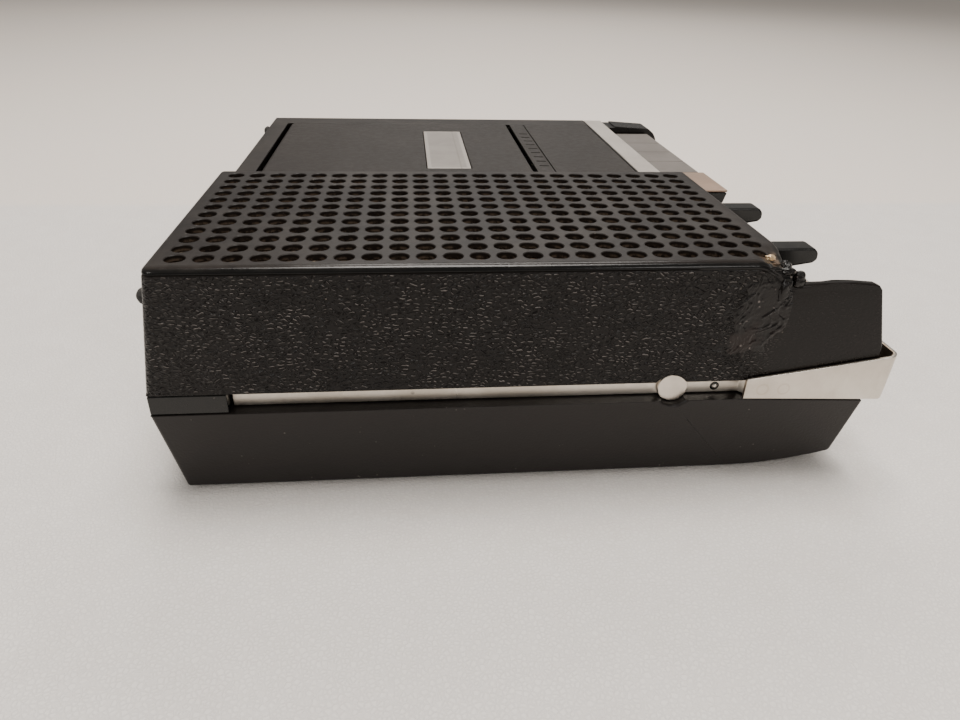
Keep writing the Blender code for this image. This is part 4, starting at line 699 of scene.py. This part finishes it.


# ==== Speaker cloth ====
# A thin open cloth glued under the grille, dark brown with age; bright dust caught in it shows in the holes,
# its specks painted pale gold as points of light.
cloth_finish, hand, shader, place = start_material("speaker_cloth", 0.9)
threads = hand.times(hand.noise(hand.scaled(place, (1.0, 0.12, 1.0)), 2600.0, 1.0),
                     hand.noise(hand.scaled(place, (0.12, 1.0, 1.0)), 2600.0, 1.0))
base = hand.mix(hand.ramp(threads, 0.12, 0.4), (0.030, 0.018, 0.011, 1), (0.140, 0.090, 0.055, 1))
# Sparse specks of dust, painted pale gold and bright as light catching them.
dust_glints = hand.times(hand.ramp(hand.voronoi(place, 300.0, "F1"), 0.20, 0.08),
                    hand.ramp(hand.noise(place, 130.0, 2.0), 0.50, 0.58))
hand.link(hand.mix(dust_glints, base, (0.62, 0.46, 0.30, 1)), shader.inputs["Base Color"])
bump(hand, shader, threads, 0.6, 0.0003)


def dress(material, slot_name, *nodes):
    """Gives CAD nodes that stay as they are their material; slot_name is not used."""
    for node in nodes:
        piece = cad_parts[node]
        piece.data.materials.clear()
        piece.data.materials.append(material)


dress(cloth_finish, "cloth", "grille_cloth")


# ==== Heat scar on the near wall ====
# Something hot once leaned on the near front corner. The plastic ran: the grain is gone, the skin is smooth,
# folded and browned, and beads of it stand along the front corner of the grille.
scar_finish, hand, shader, place = start_material("melted_plastic", 0.2, 0.0, 0.30)
tone = two_tones(hand, place, 70.0, (0.0034, 0.0028, 0.0026), (0.0066, 0.0050, 0.0044))
split = hand.add("ShaderNodeSeparateXYZ")
hand.link(place, split.inputs[0])
low_part = hand.times(hand.ramp(split.outputs["Z"], 0.064, 0.052),
                      hand.ramp(hand.noise(place, 120.0, 3.0), 0.42, 0.62))
base = hand.mix(hand.times(low_part, 0.55), tone["Color"], (0.018, 0.0085, 0.0065, 1))
# Painted highlights: small bright specks on the glossy run plastic, coloured pale as points of light.
painted_glint_specks = hand.times(hand.ramp(hand.voronoi(place, 700.0, "F1"), 0.34, 0.16),
                    hand.ramp(hand.noise(place, 230.0, 3.0), 0.54, 0.62))
base = hand.mix(hand.times(painted_glint_specks, 0.8), base, (0.19, 0.165, 0.15, 1))
hand.link(base, shader.inputs["Base Color"])
hand.link(vary(hand, hand.noise(place, 160.0, 4.0), 0.24, 0.14), shader.inputs["Roughness"])
bump(hand, shader, hand.noise(place, 700.0, 5.0, 0.6), 0.5, 0.0003)


scar_x, scar_z = 0.0665, 0.0610
bright_ridges = ((Vector((0.0575, 0.0620)), Vector((0.0614, 0.0664))),
                 (Vector((0.0658, 0.0588)), Vector((0.0690, 0.0612))),
                 (Vector((0.0694, 0.0643)), Vector((0.0732, 0.0662))))


def scar_height(x, z):
    """How far the run plastic stands out of the wall at a place, in metres; below zero it is inside."""
    spot = Vector((x, 0.0, z))
    ragged = noise.noise(spot * 170.0) * 0.34 + noise.noise(spot * 520.0) * 0.20
    slant = (x - scar_x) - (z - scar_z) * 0.30
    reach = math.sqrt((slant / 0.0098) ** 2 + ((z - scar_z + 0.0005) / 0.0160) ** 2) + ragged
    cover = max(0.0, min(1.0, (1.12 - reach) / 0.42))
    cover = cover * cover * (3 - 2 * cover)
    tongue = math.exp(-(slant / 0.0026) ** 2) * max(0.0, min(1.0, (z - 0.0560) / 0.005))
    across_fold = slant * 480.0 + noise.noise(spot * 150.0) * 2.2
    fold = (1.0 - abs(noise.noise(Vector((across_fold, z * 160.0, 4.0)))) * 2.6) * (1.0 - tongue)
    grit = noise.noise(spot * 1100.0) * 0.10 * (1.0 - tongue)
    ridge = 0.0
    for start, end in bright_ridges:
        along = end - start
        share = max(0.0, min(1.0, (Vector((x, z)) - start).dot(along) / along.length_squared))
        away = (Vector((x, z)) - start - along * share).length
        ridge += math.exp(-(away / 0.00038) ** 2)
    return (-0.30 + cover * (0.36 + 0.20 * tongue + 0.26 * max(fold, 0.0) + grit) + 0.42 * ridge) * MM


bm = bmesh.new()
across, up_steps = 190, 170
rows_of_points = []
for i in range(across + 1):
    x = 0.0440 + 0.0300 * i / across
    line = []
    for k in range(up_steps + 1):
        z = 0.0435 + 0.0318 * k / up_steps
        line.append(bm.verts.new(slump(Vector((x, wall_low.y - scar_height(x, z), z)))))
    rows_of_points.append(line)
for i in range(across):
    for k in range(up_steps):
        bm.faces.new((rows_of_points[i][k], rows_of_points[i + 1][k], rows_of_points[i + 1][k + 1],
                      rows_of_points[i][k + 1]))
scar = make_object("heat_scar", bm)
scar.data.shade_smooth()
finish_with(scar, scar_finish, "grained_black", "casing")


def bead(name, centre, size, seed, finish=scar_finish):
    """An uneven drop of plastic; size is its three half lengths in millimetres."""
    bm = bmesh.new()
    bmesh.ops.create_icosphere(bm, subdivisions=4, radius=1.0)
    for vertex in bm.verts:
        swell = 1.0 + 0.28 * noise.noise(vertex.co * 1.6 + Vector((seed, 0.0, 0.0)))
        vertex.co = Vector(centre) + Vector((vertex.co.x * size[0], vertex.co.y * size[1],
                                             vertex.co.z * size[2])) * swell * MM
        vertex.co.z = min(vertex.co.z, block_high.z)
    made = make_object(name, bm)
    made.data.shade_smooth()
    finish_with(made, finish, "grained_black", "casing")


bead("corner_bead_large", hot_corner + Vector((-0.0022, 0.0022, -0.0036)), (2.4, 1.6, 1.2), 1.0)
bead("corner_bead_front", hot_corner + Vector((-0.0016, 0.0050, -0.0031)), (1.5, 2.2, 1.3), 4.0)
bead("corner_bead_long", hot_corner + Vector((-0.0078, 0.0012, -0.0026)), (2.8, 0.9, 0.8), 7.0)
bead("corner_bead_fascia", hot_corner + Vector((0.0016, 0.0020, -0.0062)), (2.2, 2.0, 2.6), 12.0)
bead("corner_bead_low", hot_corner + Vector((-0.0030, 0.0001, -0.0088)), (1.6, 1.2, 3.4), 9.0)

# A small bright gold bead stands on the corner of the plate: a painted highlight, for warm light catching the
# melted plastic there.
glint_bead_finish, hand, shader, place = start_material("painted_glint_bead", 0.15, 0.6)
tone = two_tones(hand, place, 300.0, (0.62, 0.40, 0.20), (0.95, 0.80, 0.58))
hand.link(tone["Color"], shader.inputs["Base Color"])
bead("amber_speck", hot_corner + Vector((-0.0064, 0.0058, -0.0009)), (1.6, 1.1, 0.9), 3.0, glint_bead_finish)


# ==== Lower casing, cassette well and battery door ====
# The lower half is a second moulding with a plain fine skin; the well and the battery door share its plastic.
# The two halves are held by four long screws from underneath.
satin_black, hand, shader, place = start_material("satin_black", 0.4, 0.0, 0.30)
tone = two_tones(hand, place, 30.0, (0.0100, 0.0080, 0.0074), (0.0128, 0.0104, 0.0097))
split = hand.add("ShaderNodeSeparateXYZ")
hand.link(place, split.inputs[0])
lower_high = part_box("lower_casing")[1]
# Paler along the top edge of the lower casing, in patches.
paler_top_edge = hand.times(hand.ramp(split.outputs["Z"], lower_high.z - 0.0009, lower_high.z - 0.0003),
                       hand.ramp(hand.noise(place, 90.0, 4.0), 0.45, 0.6))
base = hand.mix(hand.times(paler_top_edge, 0.35), tone["Color"], (0.085, 0.072, 0.062, 1))
dust_over(hand, shader, place, base, 0.05, 0.25)
skin = use(hand, "moulded_skin", Vector=place, Scale=1300.0)
bump(hand, shader, skin["Height"], 0.55, 0.00012)
hand.link(vary(hand, tone["Mask"], 0.40, 0.05), shader.inputs["Roughness"])
rounded(satin_black, "casing", 0.0012, 4, "lower_casing")
rounded(satin_black, "battery_door", 0.0004, 2, "battery_door")
rounded(satin_black, "casing", 0.0003, 2, "cassette_well")


# ==== Cassette lid, head cover and grip strip ====
# Thin brown-grey mouldings with a fine mottled skin. The lid lifts on two pins at its rear edge; the head
# cover and the grooved grip strip are fixed to the deck in front of it.
panel_brown, hand, shader, place = start_material("panel_brown", 0.5, 0.0, 0.22)
tone = two_tones(hand, place, 320.0, (0.0130, 0.0095, 0.0075), (0.0180, 0.0138, 0.0112))
dust_over(hand, shader, place, tone["Color"], 0.025, 0.35)
skin = use(hand, "moulded_skin", Vector=place, Scale=1500.0)
bump(hand, shader, skin["Height"], 0.6, 0.00014)
hand.link(vary(hand, tone["Mask"], 0.52, 0.06), shader.inputs["Roughness"])
rounded(panel_brown, "lid", 0.0004, 2, "cassette_lid")
rounded(panel_brown, "casing", 0.0003, 2, "head_cover")
rounded(panel_brown, "casing", 0.0002, 2, "grip_strip")


# ==== Lid window ====
# A pale grey plastic insert pressed into the lid, with a paler frame printed round it.
window_low, window_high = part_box("lid_window")
window_grey, hand, shader, place = start_material("window_grey", 0.38)
split = hand.add("ShaderNodeSeparateXYZ")
hand.link(place, split.inputs[0])
from_edge_x = hand.math("MINIMUM", hand.less(split.outputs["X"], window_low.x),
                        hand.less(window_high.x, split.outputs["X"]))
from_edge_y = hand.math("MINIMUM", hand.less(split.outputs["Y"], window_low.y),
                        hand.less(window_high.y, split.outputs["Y"]))
from_edge = hand.math("MINIMUM", from_edge_x, from_edge_y)
border = hand.ramp(from_edge, 0.0019, 0.0016)
tone = two_tones(hand, place, 90.0, (0.23, 0.205, 0.185), (0.275, 0.25, 0.225))
# Painted shade: a thin darker line across the window, along a fold in the insert.
fold_place = hand.math("ABSOLUTE", hand.less(split.outputs["X"], window_high.x - 0.0042))
fold = hand.ramp(fold_place, 0.0005, 0.0002)
base = hand.mix(border, tone["Color"], (0.34, 0.31, 0.28, 1))
base = hand.mix(hand.times(fold, 0.6), base, (0.16, 0.14, 0.12, 1))
dust_over(hand, shader, place, base, 0.15, 0.4, (0.20, 0.17, 0.14))
rounded(window_grey, "lid", 0.0002, 2, "lid_window")


# ==== Silver trim above the keys ====
# A thin strip of satin aluminium foil on the deck, in front of the head cover.
bright_trim, hand, shader, place = start_material("bright_trim", 0.42, 0.75)
grainy = use(hand, "scratches", Vector=hand.scaled(place, (1.0, 0.05, 1.0)), Scale=1600.0)
base = hand.mix(grainy["Lines"], (0.50, 0.455, 0.41, 1), (0.62, 0.575, 0.525, 1))
dust_over(hand, shader, place, base, 0.25, 0.5, (0.25, 0.20, 0.16))
hand.link(vary(hand, grainy["Lines"], 0.42, 0.1), shader.inputs["Roughness"])
rounded(bright_trim, "casing", 0.0002, 2, "front_trim")


# ==== Keys ====
# Five moulded keys on one steel shaft. The levers are gloss black; each wears a satin cap on its tread, and
# the record key's cap is copper coloured so that it isn't pressed by mistake.
gloss_black, hand, shader, place = start_material("gloss_black", 0.2, 0.0, 0.4)
tone = two_tones(hand, place, 40.0, (0.0038, 0.0042, 0.0038), (0.0062, 0.0062, 0.0056))
dust_over(hand, shader, place, tone["Color"], 0.03, 0.3)
hand.link(vary(hand, hand.noise(place, 200.0, 3.0), 0.24, 0.1), shader.inputs["Roughness"])
grey_cap, hand, shader, place = start_material("grey_cap", 0.45)
tone = two_tones(hand, place, 60.0, (0.120, 0.103, 0.092), (0.145, 0.126, 0.113))
dust_over(hand, shader, place, tone["Color"], 0.15, 0.3)
copper_cap, hand, shader, place = start_material("copper_cap", 0.38, 0.25)
tone = two_tones(hand, place, 60.0, (0.30, 0.205, 0.150), (0.37, 0.255, 0.190))
dust_over(hand, shader, place, tone["Color"], 0.15, 0.3)
for key in ("record_key", "rewind_key", "play_key", "forward_key", "stop_key"):
    rounded(gloss_black, key, 0.0005, 3, key)
    rounded(copper_cap if key == "record_key" else grey_cap, key, 0.00035, 2, key + "_cap")


# ==== Slide controls ====
# Black bar tabs that slide along slots in the front wall, one for volume and one for tone.
rounded(gloss_black, "volume_tab", 0.0009, 4, "volume_slider")
rounded(gloss_black, "tone_tab", 0.0009, 4, "tone_slider")


# ==== Carrying handle ====
# A brushed steel band bent round the front of the recorder. Its two strip arms run in the slots between the
# casing halves; each arm is spot welded to the band and steps inwards behind it.
nickel, hand, shader, place = start_material("nickel", 0.36, 1.0)
brushed = use(hand, "scratches", Vector=hand.scaled(place, (1.0, 1.0, 0.05)), Scale=1500.0)
tone = two_tones(hand, place, 50.0, (0.58, 0.53, 0.46), (0.72, 0.67, 0.60))
inside = hand.add("ShaderNodeAttribute", attribute_name="inside")
base = hand.mix(hand.times(inside.outputs["Fac"], 0.75), tone["Color"], (0.23, 0.15, 0.09, 1))
rust_spots = hand.times(hand.ramp(hand.voronoi(place, 260.0, "F1"), 0.22, 0.10),
                        hand.ramp(hand.noise(place, 60.0, 3.0), 0.60, 0.70))
base = hand.mix(rust_spots, base, (0.035, 0.022, 0.015, 1))
split = hand.add("ShaderNodeSeparateXYZ")
hand.link(place, split.inputs[0])
weld_marks = 0.0
weld_z = 0.0346
weld_radius = 0.0018
for weld_x in (0.0708, 0.0776):
    dx = hand.less(split.outputs["X"], weld_x)
    dz = hand.less(split.outputs["Z"], weld_z)
    span = hand.math("SQRT", hand.plus(hand.times(dx, dx), hand.times(dz, dz)))
    ring = hand.ramp(hand.math("ABSOLUTE", hand.less(span, weld_radius)), 0.00045, 0.0001)
    weld_marks = hand.math("MAXIMUM", weld_marks, ring)
band_only = hand.ramp(hand.math("ABSOLUTE", split.outputs["Y"]), wall_high.y + 0.0004, wall_high.y + 0.0008)
weld_marks = hand.times(weld_marks, band_only)
base = hand.mix(hand.times(weld_marks, 0.2), base, (0.36, 0.25, 0.17, 1))
hand.link(base, shader.inputs["Base Color"])
hand.link(hand.less(1.0, hand.times(rust_spots, 0.9)), shader.inputs["Metallic"])
hand.link(vary(hand, brushed["Lines"], 0.34, 0.16), shader.inputs["Roughness"])
bump(hand, shader, brushed["Lines"], 0.5, 0.00006)

band_low, band_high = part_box("handle_band")
inset = 0.0001
outer_x = band_high.x - inset
outer_y = band_high.y - inset
band_rear = band_low.x
sheet_thickness = 0.0012
bend = 0.0032


def quarter_turn(start, steps):
    """Cosine and sine at even steps through a quarter turn from start, in degrees, after its first angle."""
    angles = [math.radians(start + 90 * i / steps) for i in range(1, steps + 1)]
    return [(math.cos(a), math.sin(a)) for a in angles]


straight = outer_x - bend - band_rear
stations = [(band_rear + straight * i / 14, -outer_y, 0.0, -1.0) for i in range(15)]
stations += [(outer_x - bend + bend * c, -outer_y + bend + bend * s, c, s) for c, s in quarter_turn(-90, 12)]
stations += [(outer_x, (-outer_y + bend) + 2 * (outer_y - bend) * i / 24, 1.0, 0.0) for i in range(1, 25)]
stations += [(outer_x - bend + bend * c, outer_y - bend + bend * s, c, s) for c, s in quarter_turn(0, 12)]
stations += [(outer_x - bend - straight * i / 14, outer_y, 0.0, 1.0) for i in range(1, 15)]
edge_radius = 0.00028
rounding = [(edge_radius * (1 - c), edge_radius * s) for c, s in quarter_turn(0, 4)[:3]]
section = [(0.0, i / 10, 0.0) for i in range(11)]
section += [(depth, 1.0, offset) for depth, offset in rounding]
section.append((sheet_thickness / 2, 1.0, edge_radius))
section += [(sheet_thickness - depth, 1.0, offset) for depth, offset in reversed(rounding)]
section += [(sheet_thickness, 1.0 - i / 10, 0.0) for i in range(11)]
section += [(sheet_thickness - depth, 0.0, -offset) for depth, offset in rounding]
section.append((sheet_thickness / 2, 0.0, -edge_radius))
section += [(depth, 0.0, -offset) for depth, offset in reversed(rounding)]
rear_low, rear_high = 0.0314, 0.0382
front_low, front_high = band_low.z, band_high.z
lean_back = 0.0006
bm = bmesh.new()
inside_layer = bm.verts.layers.float.new("inside")
loops = []
for x, y, nx, ny in stations:
    share = (x - band_rear) / (outer_x - band_rear)
    low_z = rear_low + (front_low - rear_low) * share + edge_radius
    high_z = rear_high + (front_high - rear_high) * share - edge_radius
    ring = []
    for depth, level, offset in section:
        fall = 1.0 - level
        lean = lean_back * share ** 3 * (0.65 * fall + 0.35 * fall ** 4)
        height = low_z + (high_z - low_z) * level + offset
        vertex = bm.verts.new((x - nx * depth - lean, y - ny * depth, height))
        vertex[inside_layer] = 1.0 if depth > sheet_thickness * 0.6 else 0.0
        ring.append(vertex)
    loops.append(ring)
for first, second in zip(loops, loops[1:]):
    for i in range(len(first)):
        j = (i + 1) % len(first)
        bm.faces.new((first[i], first[j], second[j], second[i]))
bm.faces.new(loops[0])
bm.faces.new(loops[-1])
bmesh.ops.recalc_face_normals(bm, faces=bm.faces[:])
band = make_object("handle_band_sheet", bm)
band.data.shade_smooth()
band.data.set_sharp_from_angle(angle=math.radians(50.0))
finish_with(band, nickel, "nickel", "handle", "handle_band")
rounded(nickel, "handle", 0.0002, 2, "handle_arm_left", "handle_arm_right")
rounded(nickel, "casing", 0.0003, 3, "guide_disc_left", "guide_disc_right")


def button(name, centre, radius, height, out):
    """A low round dome standing on a side face; out is -1 on the near side and 1 on the far side."""
    bm = bmesh.new()
    steps, levels = 28, 6
    rings = []
    for level in range(levels):
        a = math.pi / 2 * level / levels
        rings.append([bm.verts.new((centre[0] + radius * math.cos(a) * math.cos(math.tau * i / steps),
                                    centre[1] + out * height * math.sin(a),
                                    centre[2] + radius * math.cos(a) * math.sin(math.tau * i / steps)))
                      for i in range(steps)])
    tip = bm.verts.new((centre[0], centre[1] + out * height, centre[2]))
    for first, second in zip(rings, rings[1:]):
        for i in range(steps):
            j = (i + 1) % steps
            bm.faces.new((first[i], first[j], second[j], second[i]))
    for i in range(steps):
        bm.faces.new((rings[-1][i], rings[-1][(i + 1) % steps], tip))
    bm.faces.new(rings[0])
    bmesh.ops.recalc_face_normals(bm, faces=bm.faces[:])
    made = make_object(name, bm)
    made.data.shade_smooth()
    return made


rivet_x = band_rear - 0.0073
rivet_z = 0.0329
for side_name, out in (("left", -1), ("right", 1)):
    slot_plane = out * (wall_high.y - 0.00415)
    rivet = button("arm_rivet_" + side_name, (rivet_x, slot_plane, rivet_z), 0.00095, 0.0007, out)
    finish_with(rivet, nickel, "nickel", "handle")
    ring = button("arm_rivet_seat_" + side_name, (rivet_x, slot_plane, rivet_z), 0.0015, 0.00015, out)
    finish_with(ring, gloss_black, "gloss_black", "handle")


# ==== Slot plugs and rear buffers ====
# Glossy moulded plugs close the rear ends of the handle slots; two rubber domes on the rear wall are the feet
# that the recorder stands on when it is carried upright.
rounded(gloss_black, "casing", 0.0004, 3, "slot_plug_left", "slot_plug_right")
rounded(gloss_black, "casing", 0.0002, 2, "signal_socket")
rubber, hand, shader, place = start_material("rubber", 0.72)
tone = two_tones(hand, place, 80.0, (0.012, 0.012, 0.012), (0.022, 0.021, 0.020))
dust_over(hand, shader, place, tone["Color"], 0.3, 0.2)
rounded(rubber, "casing", 0.0003, 3, "rear_buffer_left", "rear_buffer_right", "foot_front_left",
        "foot_front_right", "foot_rear_left", "foot_rear_right")
dress(rubber, "rubber", "drive_belt", "pinch_roller")


# ==== Mechanism and electronics ====
# What shows when the lid, the battery door or the casing is open: zinc plated steel plates, brass wheels,
# black spindles, the paper cone of the loudspeaker with its ferrite magnet, and the green circuit board.
def plain_material(name, roughness, metallic, scale, first, second):
    """A material that needs only two mottled colours."""
    made, hand, shader, place = start_material(name, roughness, metallic)
    tone = two_tones(hand, place, scale, first, second)
    hand.link(tone["Color"], shader.inputs["Base Color"])
    return made, hand, shader, place, tone


zinc, hand, shader, place, tone = plain_material("zinc", 0.4, 1.0, 120.0, (0.48, 0.48, 0.46),
                                                 (0.62, 0.61, 0.58))
hand.link(vary(hand, tone["Mask"], 0.4, 0.08), shader.inputs["Roughness"])
brass = plain_material("brass", 0.34, 1.0, 100.0, (0.56, 0.41, 0.18), (0.66, 0.50, 0.24))[0]
paper, hand, shader, place, tone = plain_material("paper", 0.9, 0.0, 200.0, (0.035, 0.031, 0.028),
                                                  (0.06, 0.054, 0.048))
bump(hand, shader, hand.noise(place, 900.0, 4.0), 0.5, 0.0002)
ferrite = plain_material("ferrite", 0.7, 0.0, 200.0, (0.035, 0.035, 0.035), (0.055, 0.055, 0.055))[0]
board_green = plain_material("board_green", 0.4, 0.0, 70.0, (0.03, 0.13, 0.05), (0.05, 0.18, 0.075))[0]
dress(zinc, "zinc", "case_screw_front_left", "case_screw_front_right", "case_screw_rear_left",
      "case_screw_rear_right", "head_plate", "key_shaft", "lid_hinge_pin_left", "lid_hinge_pin_right",
      "mechanism_plate", "motor", "speaker_frame", "tone_pot", "volume_pot")
dress(brass, "brass", "flywheel", "motor_pulley")
dress(nickel, "nickel", "play_head")
dress(gloss_black, "gloss_black", "supply_spindle", "takeup_spindle")
dress(paper, "paper", "speaker_cone")
dress(ferrite, "ferrite", "speaker_magnet")
dress(board_green, "board_green", "circuit_board")
